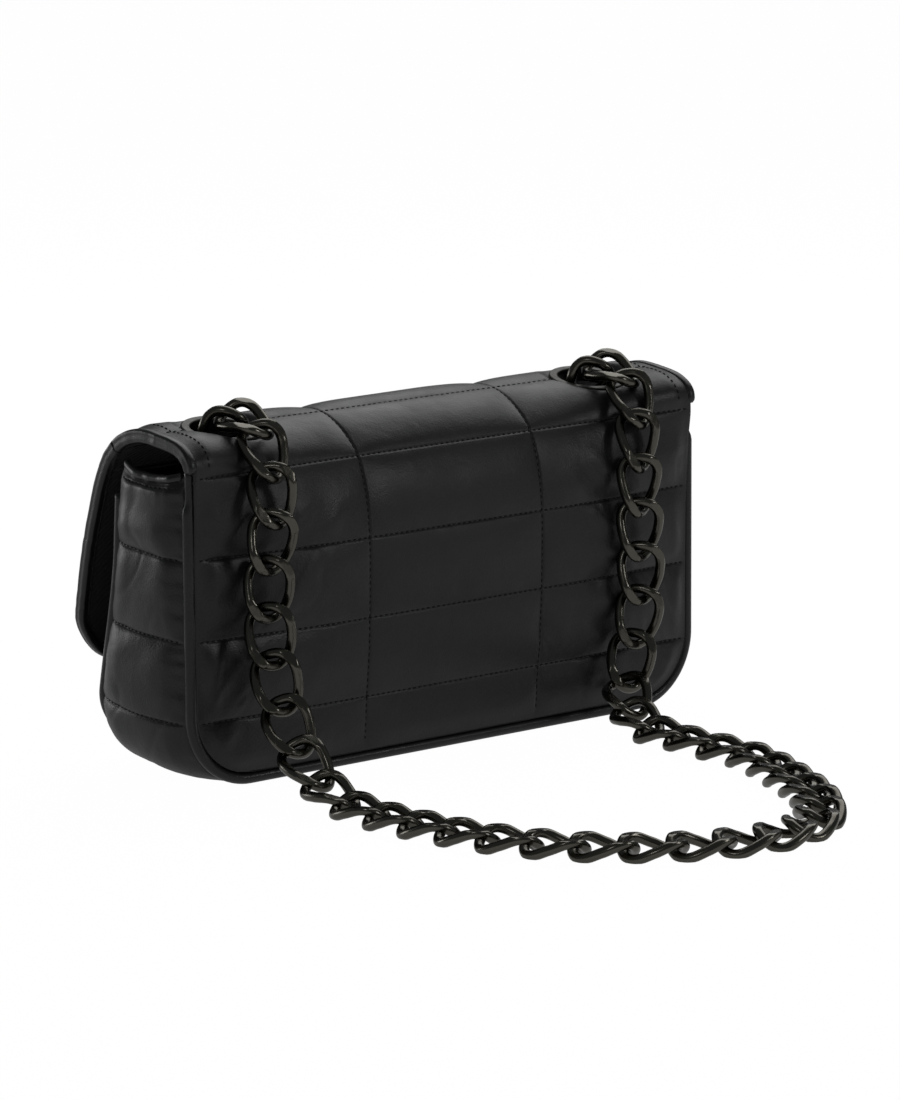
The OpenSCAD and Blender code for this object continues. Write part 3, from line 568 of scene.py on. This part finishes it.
top_rows, fall_rows = slice(0, fall_row + 1), slice(fall_row, len(whole))
skin_piece("back_skin", top_rows, first_bend, bore_radius,
           ("back_panel", "flap_root", "flap_top"))
skin_piece("flap_skin", fall_rows, second_bend, 0, ("flap_front",))
roll_lining = skin_piece("roll_lining", slice(lining_row, fall_row + 1), first_bend,
                         lining_bore, ("flap_root_lining", "flap_top_lining"), True)
flap_lining = skin_piece("flap_lining", fall_rows, second_bend, 0,
                         ("flap_front_lining",), True)
print("skin grid", skin_outer.shape[:2])

# %% [markdown]
# ## Bound edges of the flap
# A strip of plain leather is folded round the flap's edge and stitched through. From
# the side it is a band about 5 mm deep that outlines the arch. Its section has two
# round lobes with a groove between, and is swept along the skin's edge. At the flap's
# root it is tucked in to a puckered end.

# %% Flap binding
def lobed_section(width, depth, groove, sides=22):
    turn = np.linspace(0, 2 * np.pi, sides, endpoint=False)
    a = signed_power(np.cos(turn), 0.6) * width / 2
    b = signed_power(np.sin(turn), 0.8) * depth / 2
    pinch = groove * np.exp(-((b - depth * 0.08) / (depth * 0.13))**2)
    return np.stack([a - np.sign(a) * pinch, b], 1)


def bound_edge(name, path, lift, outward, bend, replaced, tucked=False):
    side = np.cross(unit(np.gradient(path, axis=0)), lift)
    side = unit(side * np.sign((side * outward).sum(axis=1, keepdims=True)))
    step = np.arange(len(path))
    rub = soft_noise(step / 3.1, np.full(len(path), 0.5), 23)
    rub = rub * (0.22 + (0.35 * np.exp(-step / 9) if tucked else 0))
    path = path + side * (0.7 + rub[:, None]) - lift * 2.1
    points, faces = swept(path, side, lift, lobed_section(4.4, 5.6, 0.55))
    if tucked:
        full = ease((step + 1.2) / 4)[:, None, None]
        rings = points.reshape(len(path), -1, 3) - path[:, None]
        points = (path[:, None] + rings * full).reshape(-1, 3)
    make_piece(name, points, faces, bend, binding_lambskin, "trim", replaced)


edge_rows = slice(edge_row, fall_row + 1)
for name, column, sign in (("left", -1, 1.0), ("right", 0, -1.0)):
    bound_edge("roll_edge_" + name, skin_outer[edge_rows, column],
               skin_normal[edge_rows, column], (sign, 0, 0), first_bend,
               ("flap_root_binding", "flap_top_binding"), tucked=True)

rim, rim_lift = (np.concatenate([grid[:, 0], grid[-1, 1:-1], grid[::-1, -1]])
                 for grid in (skin_outer[fall_rows], skin_normal[fall_rows]))
gap = np.linalg.norm(np.diff(rim, axis=0), axis=1)
keep = np.concatenate([[True], gap > 0.25])
rim, rim_lift = rim[keep], rim_lift[keep]
from_middle = (rim - (0, 0, 125.0)) * (1.0, 0, 1.0)
bound_edge("flap_edge", rim, rim_lift, from_middle, second_bend,
           ("flap_front_binding",))
print("flap edge", len(rim), "rings")

# %% [markdown]
# ## Ends and base
# One strip of the same leather makes the two ends and the bottom of the bag. It swells
# between the pipings, its cross seams meet those of the back, and at its top it is
# hemmed and pulled in where the flap closes over it. The front's lower corners stand
# forward and are drawn up a few millimetres, as a soft bag's do. Its path is the
# outline of the back view: down from the left top, under the bag, and up on the right.

# %% Gusset surface
end_half, end_corner, end_low, end_top, hem_line = 126.6, 28.8, 0.3, 125.0, 119.6
whole_run = (2 * (end_top - 30) + end_corner * math.pi + 2 * (end_half - end_corner))


def outline_place(s, whole=whole_run, half=end_half, corner=end_corner, low=end_low,
                  top=end_top):
    """Point and outward direction at a length along a U outline from its left top."""
    s = np.asarray(s, float)
    mirrored = s > whole / 2
    t = np.where(mirrored, whole - s, s)
    straight, bend = top - corner - low, corner * math.pi / 2
    turn = np.clip((t - straight) / bend, 0, 1) * math.pi / 2
    flat = np.maximum(t - straight - bend, 0)
    x = half - corner + corner * np.cos(turn) - flat
    z = np.where(t < straight, top - t, low + corner - corner * np.sin(turn))
    sign = np.where(mirrored, -1, 1)
    return (np.stack([x * sign, z], -1),
            np.stack([np.cos(turn) * sign, -np.sin(turn)], -1))


def run_at_height(z):
    """The length along the outline at a height, on the left side."""
    under = end_low + end_corner - z
    return end_top - z if under < 0 else (end_top - end_low - end_corner
                                          + end_corner * math.asin(under / end_corner))


cord_radius, back_seam = 2.3, 24.6


def foot_share(z):
    return ease((90 - z) / 75)


def front_plane(z, x):
    """The front piping's depth: it leans back, and its lower corners stand forward."""
    foot = 6.5 * foot_share(z) * ease((np.abs(x) - 66) / 48)
    return -26.2 + (z - cord_radius) * math.tan(math.radians(4.1)) - foot


def corner_rise(x, z, d):
    """How far the front's lower corners are drawn up; d is 1 at the front."""
    return (np.clip(d, 0, 1)**1.3 * ease((np.abs(x) - 86) / 38) * ease((114 - z) / 24)
            * (2.0 + 4.0 * ease((40 - z) / 38)))


def gusset_points(s, d):
    """d runs from 0 at the back piping to 1 at the front piping."""
    xz, out = outline_place(s)
    z = xz[..., 1]
    far = front_plane(z, xz[..., 0]) + 1.2
    spread = np.sign(xz[..., 0]) * 1.2 * d * foot_share(z)
    side = ease(np.abs(out[..., 0]) * 1.25 - 0.1)
    arch = (1 - (2 * d - 1)**2)**0.65
    low = ease((70 - z) / 40)
    swell = (3.9 + 1.1 * low) * side * arch
    seams = nearest(z, row_seams)
    puff = 1 - np.exp(-seams / 5.0)
    edge = ease(np.minimum(d / 0.2, (1 - d) / 0.3))
    gather = soft_noise(z / 2.6, d * 2.2, 57) * np.exp(-d / 0.10) * ease(d / 0.03)
    gather = gather + soft_noise(z / 3.4, d * 2.2, 58) * np.exp(-(1 - d) / 0.07) * 0.7
    wave = soft_noise(d * 4 + 3, z / 7, 51) * np.exp(-seams / 8)
    calm = soft_noise(d * 3, z / 14, 52) + 0.6 * soft_noise(d * 5 + z / 30, z / 9, 53)
    sweep = soft_noise(d * 2.2 + z / 26, z / 30 - d, 54)
    calm = calm - 0.35 * np.exp(-(sweep / 0.12)**2)
    groove = seam_groove(seams, 0.4, 0.6) * ease(np.minimum(d, 1 - d) / 0.05)
    lift = swell + side * (edge * (1.8 * puff + 0.5 * wave + 0.6 * calm)
                           + 0.5 * gather + groove)
    pucker = 0.3 * soft_noise(d * 14, z / 6, 55) * ease((z - 110) / 8)
    lift = lift + side * edge * (pucker + seam_groove(z - hem_line, 0.45, 0.7))
    bulge = side * puff * np.exp(-((d - 0.84) / 0.16)**2) * ease((112 - z) / 14)
    mouth = ease((z - 116) / 9)
    lift = lift + 1.4 * bulge - (1.6 + 2.2 * arch) * mouth
    y = back_seam + (far - back_seam) * d - 1.0 * bulge
    sag = 4.0 * arch * mouth
    rise = corner_rise(xz[..., 0], z, d)
    return np.stack([xz[..., 0] + out[..., 0] * lift + spread, y,
                     z + out[..., 1] * lift - sag + rise], -1)


end_seams = [run_at_height(z) for z in (*row_seams, hem_line)]
cross_seams = beside(end_seams)
runs = np.concatenate([np.linspace(0, whole_run, 380), cross_seams,
                       whole_run - cross_seams])
depth_grid, run_grid = np.meshgrid(np.linspace(0, 1, 64), np.unique(runs))
gusset_outer = gusset_points(run_grid, depth_grid)
out = outline_place(run_grid)[1]
thickness = 1.8 * np.stack([out[..., 0], np.zeros_like(run_grid), out[..., 1]], -1)
gusset_skin = make_piece("gusset_skin",
                         *closed_sheet(gusset_outer - thickness, gusset_outer), "bag",
                         quilted_lambskin, "leather",
                         ("left_gusset", "base_strip", "right_gusset",
                          "left_gusset_hem", "right_gusset_hem"))
for name, end, sign in (("left", 0, 1.0), ("right", -1, -1.0)):
    rim = gusset_outer[end, 3:-3] - (sign * 0.5, 0, 0.1)
    roll = swept(rim, (1.0, 0, 0), (0, 0, 1.0), round_section(1.7, 14, 1.1))
    make_piece(name + "_mouth_roll", *roll, "bag", binding_lambskin, "trim")
print("gusset", round(whole_run), "mm long")

# %% [markdown]
# ## Front panel
# The panel under the flap is the back's twin: the same outline and seams, leaning back
# a little, with a bound top edge. It shows below the flap and when the flap is lifted.

# %% Front panel
front_half, front_corner, front_top = 123.2, 25.2, 117


def front_points(across, z):
    half = rounded_half(z - skin_start, front_half, front_corner)
    x = across * half
    lift = quilt(x, z, row_seams, rise=1.8, seed=71)
    lift = lift * ease((half - np.abs(x)) / 9) * ease((z - 4) / 8) * ease((119 - z) / 5)
    crown = 2.4 * (1 - (x / front_half)**2)
    y = front_plane(z, x) - 1.6 - crown - lift
    return np.stack([x * (1 + foot_share(z) / 105), y, z + corner_rise(x, z, 1.0)], -1)


front_rows = np.unique(np.concatenate([np.linspace(skin_start, front_top, 84),
                                       beside(row_seams)]))
front_columns = np.unique(np.concatenate([np.linspace(-1, 1, 161),
                                          beside(upright_seams) / front_half]))
front_outer = front_points(*np.meshgrid(front_columns, front_rows))
front_sheet = closed_sheet(front_outer + (0, 2.4, 0), front_outer)
front_skin = make_piece("front_skin", *front_sheet, "bag", quilted_lambskin, "leather",
                        ("front_panel",))
path = front_outer[-1, 2:-2] + (0, 1.2, 0.2)
edge = swept(path, (0, 1.0, 0), (0, 0, 1.0), lobed_section(4.2, 7.0, 0.3))
make_piece("front_top_edge", *edge, "bag", binding_lambskin, "trim",
           ("front_top_binding",))
print("front panel grid", front_outer.shape[:2])

# %% [markdown]
# ## Piping
# A cord wrapped in thin leather is sewn into the seam between each panel and the ends.
# It is round, 4.6 mm thick, and outlines the whole panel. At the back it stops below
# the flap's root, and only the turned seam goes on, a little thinner.

# %% Piping
cord_half, cord_corner, cord_y, cord_sides = 125.7, 27.7, 25.7, 14


def piping_path(top, at_front):
    whole = (2 * (top - cord_corner - cord_radius) + cord_corner * math.pi
             + 2 * (cord_half - cord_corner))
    xz, _ = outline_place(np.linspace(0, 1, 260) * whole, whole, cord_half, cord_corner,
                          cord_radius, top)
    x, z = xz.T
    if at_front:
        return np.stack([x * (1 + foot_share(z) / 105), front_plane(z, x),
                         z + corner_rise(x, z, 1.0)], 1)
    return np.stack([x, np.full_like(z, cord_y), z], 1)


for name, top, at_front in (("back", 126.0, False), ("front", 111.0, True)):
    path = piping_path(top, at_front)
    way = unit(np.gradient(path, axis=0))
    lift = unit(np.cross(way, (0, 1.0, 0)))
    points, faces = swept(path, np.cross(lift, way), lift,
                          round_section(cord_radius, cord_sides))
    if not at_front:
        thin = 1 - 0.22 * ease((path[:, 2:] - 110) / 4)
        inward = np.sign(path[:, :1]) * (1 - thin) * (-2.4, 2.0, 0)
        rings = points.reshape(-1, cord_sides, 3) - path[:, None]
        points = ((path + inward)[:, None] + rings * thin[:, None]).reshape(-1, 3)
    make_piece(name + "_cord", points, faces, "bag", binding_lambskin, "trim",
               (name + "_piping",))
    print(name, "piping", round(float(run_along(path)[-1])), "mm")

# %% [markdown]
# ## Lining of the bag
# The compartment is a twill box, sewn to the top edges. It hangs a little slack, so its
# walls waver. A slip pocket is sewn to its back.

# %% Lining box
box_half, box_corner, box_floor, box_sides = 123.6, 24.4, 4.6, 160


def lining_ring(z, inset):
    """One level of the box: a rounded rectangle walked round once."""
    wide = rounded_half(z - box_floor, box_half - inset, box_corner)
    turn = np.linspace(0, 2 * np.pi, box_sides, endpoint=False)
    ring_x = signed_power(np.cos(turn), 0.25) * wide
    ring_y = signed_power(np.sin(turn), 0.25)
    far, near = 22.4 - inset, front_plane(z, ring_x) + 2.9 + inset
    y = (far + near) / 2 + ring_y * (far - near) / 2
    waver = 0.5 * soft_noise(ring_x / 17, np.full_like(ring_x, z / 15), 81)
    return np.stack([ring_x * (1 - np.abs(waver) / 200), y - ring_y * np.abs(waver),
                     z + corner_rise(ring_x, z, (back_seam - y) / 50)], 1)


levels = np.concatenate([np.linspace(5.6, 30, 10), np.linspace(36, 110, 14)])
outside = [lining_ring(z, 0.0) for z in levels]
inside = [lining_ring(z, 1.0) for z in levels[::-1]]
rings = np.array(outside + inside)
make_piece("lining_box", rings.reshape(-1, 3), tube_faces(len(rings), box_sides), "bag",
           twill, "lining", ("lining",))

pocket_half = 55
pocket_x, pocket_z = np.meshgrid(np.linspace(-pocket_half, pocket_half, 56),
                                 np.linspace(27, 83, 30))
slack = 0.6 * (1 - (pocket_x / pocket_half)**2) * ease((pocket_z - 40) / 40)
pocket = np.stack([pocket_x, 20.6 - slack, pocket_z], -1)
pocket_patch = make_piece("pocket_patch", *closed_sheet(pocket, pocket - (0, 0.8, 0)),
                          "bag", twill, "lining", ("slip_pocket",))
print("lining", len(rings), "rings; pocket", 2 * pocket_half, "mm wide")

# %% [markdown]
# ## Stitches
# Each row of quilting is a line of short thread bars, 2.6 mm apart, in the valley of
# the seam. Each is a real little capsule pressed into the skin, so it catches the light
# from every side.

# %% Stitch maker
stitch_pitch, stitch_length, stitch_radius = 2.6, 1.7, 0.27
# each ring of a stitch: its share of the length, its thickness, how deep it dives
stitch_rings = ((0.0, 0.35, 0.25), (0.18, 1.0, 0), (0.5, 1.1, 0), (0.82, 1.0, 0),
                (1.0, 0.35, 0.25))


def at_run(where, run, values):
    return np.array([np.interp(where, run, column) for column in values.T])


def stitch_bars(path, normal):
    run = run_along(path)
    count = max(1, int(run[-1] / stitch_pitch))
    points, faces = [], []
    for i in range(count):
        middle = (i + 0.5) * run[-1] / count
        start, end = (at_run(middle + e * stitch_length, run, path)
                      for e in (-0.5, 0.5))
        n = unit(at_run(middle, run, normal))
        side = np.cross(n, unit(end - start))
        faces += tube_faces(len(stitch_rings), 6, len(points))
        for share, thick, dive in stitch_rings:
            centre = start + (end - start) * share + n * (stitch_radius * 0.4 - dive)
            for k in range(6):
                a = k * math.pi / 3
                ray = math.cos(a) * side + math.sin(a) * n
                points.append(centre + thick * stitch_radius * ray)
    return points, faces


def merge(parts):
    points, faces = [], []
    for some_points, some_faces in parts:
        start = len(points)
        points.extend(some_points)
        faces.extend([tuple(start + v for v in face) for face in some_faces])
    return points, faces


def thread_piece(name, lines, body):
    points, faces = merge([stitch_bars(path, normal) for path, normal in lines])
    make_piece(name, points, faces, body, thread, "trim")
    print(name, len(points) // (6 * len(stitch_rings)), "stitches")


# %% [markdown]
# The seams are walked as lines of the same surface that the skin was made from, so the
# thread lies exactly in the valleys.

# %% Stitches of the back and the roll
def row_line(s, share=0.985):
    return skin_points(np.linspace(-share, share, 260), np.full(260, s))


def upright_line(column, start, end, count):
    s = np.linspace(start, end, count)
    return skin_points(column / skin_half(s), s)


def edge_line(sign, start, end, count, inset=6.5):
    s = np.linspace(start, end, count)
    return skin_points(sign * (1 - inset / skin_half(s)), s)


back_lines = [row_line(row) for row in skin_rows[:4]]
back_lines += [upright_line(column, 9, 150, 260) for column in upright_seams]
path, normal = row_line(roll_row, 0.975)
back_lines += [(path[chosen], normal[chosen]) for chosen in
               (path[:, 0] < -111, np.abs(path[:, 0]) < 74, path[:, 0] > 111)]
back_lines += [edge_line(sign, 127, 162, 90) for sign in (-1, 1)]
thread_piece("back_thread", back_lines, "bag")

# %% [markdown]
# The flap has the same seams, and its binding is sewn through a few millimetres from
# the edge. The ends have three cross seams and the line of their hem.

# %% Stitches of the flap and the ends
flap_lines = [row_line(row) for row in skin_rows[5:]]
flap_lines += [upright_line(column, 194, 272, 200) for column in upright_seams]
flap_lines += [edge_line(sign, 192, 262, 140) for sign in (-1, 1)]
flap_lines.append(row_line(skin_end - 6, 0.84))
thread_piece("flap_thread", flap_lines, "flap")

end_lines = []
for s in end_seams + [whole_run - s for s in end_seams]:
    across_end = gusset_points(np.full(60, s), np.linspace(0.06, 0.94, 60))
    out_x, out_z = outline_place(s)[1]
    end_lines.append((across_end, np.tile((out_x, 0, out_z), (60, 1))))
thread_piece("end_thread", end_lines, "bag")

# %% [markdown]
# ## Chain links
# A curb link starts as an oval of round wire. It is twisted, so opposite sides rise and
# fall, and then both faces are filed flat. Those flats are what glitters on a heavy
# chain. The link is made once: what stands past a flat is pressed back to it.

# %% One link
link_length, link_width, wire, link_height, twist = 27.0, 20.5, 4.0, 7.9, 2.9


def wire_middle(a):
    return np.stack([(link_length - wire) / 2 * signed_power(np.cos(a), 0.9),
                     (link_width - wire) / 2 * signed_power(np.sin(a), 0.9),
                     -twist * np.sin(2 * a)], -1)


def link_mesh(rings=64, sides=20):
    a = np.linspace(0, 2 * np.pi, rings, endpoint=False) + np.pi / rings
    middle = wire_middle(a)
    way = unit(wire_middle(a + 0.02) - wire_middle(a - 0.02))
    side = unit(np.cross(way, (0, 0, 1.0)))
    points, faces = swept(middle, side, np.cross(side, way),
                          round_section(wire / 2, sides), closed=True)
    points[:, 2] = np.clip(points[:, 2], -link_height / 2, link_height / 2)
    return points, faces


link_points, link_faces = link_mesh()
print("link", len(link_faces), "faces")

# %% [markdown]
# ## The chain's route
# The route runs from the left eyelet down the back, out over the floor in a loop and up
# again to the right eyelet. It repeats the points of the frame's own chain, so that
# every link lies where the frame has it. A row gives a point as shares of the route's
# reach, then the way that the link faces and its twist in degrees.

# %% Route of the chain
flat = (0, 0, 1, 0)
strap_shares = [
    (0.977, -0.061, 0.968, 0.6, 0.8, 4.4), (1.004, -0.02, 0.858, 0.9, 0.4, -10.8),
    (1.031, 0.006, 0.736, 1, 0.1, -11.5), (1.054, 0.001, 0.587, 1, 0.1, -21.4),
    (1.07, 0.011, 0.441, 1, 0.1, -25.4), (1.081, 0.037, 0.301, 1, 0.2, -25),
    (1.092, 0.084, 0.175, 0.8, 0.5, -20), (1.108, 0.157, 0.073, 0.6, 0.8, -10),
    (1.114, 0.251, 0.016, 0.1, 1, 0), (1.103, 0.36, *flat), (1.049, 0.553, *flat),
    (0.941, 0.714, *flat), (0.735, 0.854, *flat), (0.432, 0.958, *flat),
    (0.086, 1, *flat), (-0.216, 0.953, *flat), (-0.454, 0.818, *flat),
    (-0.616, 0.646, *flat), (-0.735, 0.475, *flat), (-0.73, 0.344, *flat),
    (-0.718, 0.27, 0.003, 0, 1, -2), (-0.715, 0.177, 0.003, 0, 1, 6),
    (-0.741, 0.098, 0.035, 0.2, 1, 1), (-0.834, 0.027, 0.065, 0.6, 1, 12),
    (-0.909, 0.005, 0.171, 1, 0.2, 21), (-0.973, 0.001, 0.308, 1, 0, 20),
    (-0.973, 0, 0.454, 1, 0, 14.7), (-0.968, 0, 0.595, 1, 0.1, 10),
    (-0.968, -0.002, 0.734, 1, 0.1, -1.6), (-0.989, -0.02, 0.857, 0.9, 0.4, -0.1),
    (-1.027, -0.062, 0.969, 0.6, 0.8, -0.6)]
inner_shares = [
    (0.99, 0.623, 0.242, -7.4), (1.007, 1.231, 0.487, -15.6), (0.822, 0.607, 0.73, -5),
    (0.616, 1.116, 0.957, -5), (0.324, 1.074, 0.992, -3), (0, 1.074, 1.001, 0),
    (-0.324, 1.074, 0.992, 3), (-0.605, 1.116, 0.957, 5), (-0.838, 1.244, 0.618, 17.6),
    (-0.964, 1.249, 0.472, 10.4), (-0.988, 0.492, 0.185, 0.2)]
eyelet_z = float(eyelet_place[2])
first_z, floor_z = eyelet_z + 3.1, link_height / 2 + 0.2
drop_y = cord_y + 1.8 + 4.9 + link_height / 2 + 2.4
first_y, loop_reach, inner_rise, inner_drop = 15.8, 192.2, 9, 35.8
first_fall, first_roll, standing_roll = math.radians(16.8), -9.2, 11.3
lean = math.radians(34)
stand = np.array((0.9, 2 + 1.5, eyelet_z - 3.4))
facing = (0.0, math.cos(lean), -math.sin(lean))
strap_rows = np.array(
    [(eyelet_x - 1.3, first_y, first_z, 0, 0, 1, 27)]
    + [(a * eyelet_x, drop_y + b * loop_reach, floor_z + c * (first_z - floor_z), 0,
        *rest) for a, b, c, *rest in strap_shares]
    + [(-eyelet_x - 1.3, first_y, first_z, 0, 0, 1, -27)])
inner_rows = np.array(
    [(eyelet_x + stand[0], stand[1], stand[2], *facing, -standing_roll)]
    + [(a * eyelet_x, stand[1] - b * inner_rise, stand[2] - c * inner_drop, *facing, d)
       for a, b, c, d in inner_shares]
    + [(-eyelet_x + stand[0], stand[1], stand[2], *facing, standing_roll)])


def turned(n, way, degrees):
    g = math.radians(degrees)
    return n * math.cos(g) + np.cross(n, way) * math.sin(g)


def links_on(rows, pitch, steps=16):
    rows = np.vstack([2 * rows[0] - rows[1], rows, 2 * rows[-1] - rows[-2]])
    t = (np.arange(steps) / steps)[:, None]
    line = [(2 * b + (c - a) * t + (2 * a - 5 * b + 4 * c - d) * t**2
             + (3 * b - a - 3 * c + d) * t**3) / 2
            for a, b, c, d in zip(rows, rows[1:], rows[2:], rows[3:])]
    line = np.vstack(line + [rows[-2:-1]])
    run = run_along(line[:, :3])
    count = round(run[-1] / pitch)
    links = []
    for i in range(count + 1):
        before, here, after = (at_run((i + e) * run[-1] / count, run, line)
                               for e in (-0.5, 0, 0.5))
        way = unit(after[:3] - before[:3])
        n = unit(here[3:6] - way * (here[3:6] @ way))
        place = here[:3] if i in (0, count) else (before[:3] + after[:3]) / 2
        links.append((place, way, turned(n, way, here[6])))
    return links


strap_pitch, inner_pitch = 18.0, 17.5
strap_links = links_on(strap_rows, strap_pitch)
way = np.array((0, math.cos(first_fall), -math.sin(first_fall)))
n = np.array((0, math.sin(first_fall), math.cos(first_fall)))
for end in (0, -1):
    strap_links[end] = (strap_rows[end][:3], way, turned(n, way, first_roll))
inner_links = links_on(inner_rows, inner_pitch)
print("strap", len(strap_links), "links; hidden run", len(inner_links) - 2)

# %% [markdown]
# Each stretch is one piece on its own body, as in the frame. Sharp edges are marked
# where a filed flat meets the round wire, so the flats stay crisp in the highlights.

# %% Chain pieces
sharp_angle = 0.42


def chain_piece(name, links, body, replaced):
    parts = [(link_points @ np.array([way, np.cross(n, way), n]) + place, link_faces)
             for place, way, n in links]
    mesh = make_piece(name, *merge(parts), body, black_nickel, "dark_metal",
                      (replaced,)).data
    sharp = mesh.attributes.new("sharp_edge", "BOOLEAN", "EDGE")
    normals = {}
    for polygon in mesh.polygons:
        for key in polygon.edge_keys:
            normals.setdefault(key, []).append(polygon.normal)
    sharp.data.foreach_set("value", [
        len(normals[edge.key]) == 2
        and normals[edge.key][0].angle(normals[edge.key][1], 0) > sharp_angle
        for edge in mesh.edges])


marks = [round(share * len(strap_links)) for share in (0, 0.24, 0.435, 0.58, 0.775, 1)]
stretches = ("left_drop", "left_floor", "loop_end", "right_floor", "right_drop")
for name, first, last in zip(stretches, marks, marks[1:]):
    chain_piece(name + "_chain", strap_links[first:last], "strap", name + "_links")
chain_piece("inner_chain", inner_links[1:-1], "bag", "inner_run_links")
up_way = np.array((0, math.sin(lean), math.cos(lean)))
face_way = turned(np.array(facing), up_way, standing_roll)
for name, side in (("left", 1), ("right", -1)):
    place = stand + (side * eyelet_x, 0, 0)
    chain_piece(name + "_standing_link", [(place, up_way, face_way)], "bag",
                name + "_eyelet_link")
print("chain links", len(strap_links) + len(inner_links))

# %% [markdown]
# ## Studio
# The bag stands on a white sweep under soft lamps. The sweep is white to the camera and
# a quiet grey in reflections; it adds no light, so the leather stays black. The largest
# lamp hangs above, beyond the bag: it lights the rolled top and leaves the back dark. A
# low one models the swelling end, one fills the back, and a small one gives glints.

# %% Floor
floor_mesh = bpy.data.meshes.new("floor")
corners = [(-6, -6, 0), (6, -6, 0), (6, 6, 0), (-6, 6, 0)]
floor_mesh.from_pydata(corners, [], [(0, 1, 2, 3)])
floor = placed("floor", floor_mesh)
paper, tree, surface, place = new_material("white paper sweep")
set_node(tree, surface, {"Base Color": linear("#c8c8c8"), "Roughness": 0.9})
white = linear("#ffffff")
glow = add_node(tree, "Emission", {"Strength": 1.04, "Color": white})
seen = add_node(tree, "LightPath")
seen_straight = add_node(tree, "Math", {"operation": "MAXIMUM"},
                         _0=seen.outputs["Is Camera Ray"],
                         _1=seen.outputs["Is Transmission Ray"])
reflected = add_node(tree, "Math", {"operation": "MULTIPLY", 1: 0.36},
                     _0=seen.outputs["Is Glossy Ray"])
both = add_node(tree, "Math", {"operation": "MAXIMUM"},
                _0=seen_straight.outputs["Value"], _1=reflected.outputs["Value"])
share = add_node(tree, "Math", {"operation": "MULTIPLY", 1: 0.95},
                 _0=both.outputs["Value"])
sweep = add_node(tree, "MixShader", _0=share.outputs["Value"],
                 _1=surface.outputs[0], _2=glow.outputs[0])
set_node(tree, tree.nodes["Material Output"], Surface=sweep.outputs[0])
floor_mesh.materials.append(paper)
print("floor", paper.name)

# %% [markdown]
# The world is white to the camera too, and a faint cool grey to the bag. Each lamp is
# a rectangle that faces a point of the bag.

# %% World and lamps
world = bpy.data.worlds.new("studio")
world.use_nodes = True
bpy.context.scene.world = world
tree = world.node_tree
ground = set_node(tree, tree.nodes["Background"],
                  {"Color": linear("#e8ecf0"), "Strength": 0.12})
sky = add_node(tree, "Background", {"Strength": 1.0, "Color": white})
rays = add_node(tree, "LightPath")
mix = add_node(tree, "MixShader", _0=rays.outputs["Is Camera Ray"],
               _1=ground.outputs[0], _2=sky.outputs[0])
set_node(tree, tree.nodes["World Output"], Surface=mix.outputs[0])


def soft_lamp(name, place, aim, size, watts):
    lamp = bpy.data.lights.new(name, "AREA")
    lamp.shape = "RECTANGLE"
    lamp.size, lamp.size_y = size
    lamp.energy = watts
    away = unit(np.subtract(place, aim))
    side = unit(np.cross((0, 0, 1.0), away))
    turn = Matrix((side, np.cross(away, side), away)).transposed().to_4x4()
    placed(name, lamp).matrix_world = Matrix.Translation(place) @ turn


soft_lamp("top_light", (-0.75, -0.45, 1.05), (0, 0, 0.12), (1.3, 1.1), 7.4)
soft_lamp("side_light", (0.55, -1.35, 0.22), (0.1, 0, 0.05), (0.8, 0.34), 2.6)
soft_lamp("fill_light", (-0.9, 1.7, 0.8), (0, 0, 0.08), (0.4, 0.4), 3.2)
soft_lamp("glint_light", (1.5, 1.2, 1.3), (0, 0.05, 0.08), (0.25, 0.25), 1.5)

bpy.context.scene.view_settings.view_transform = "Standard"
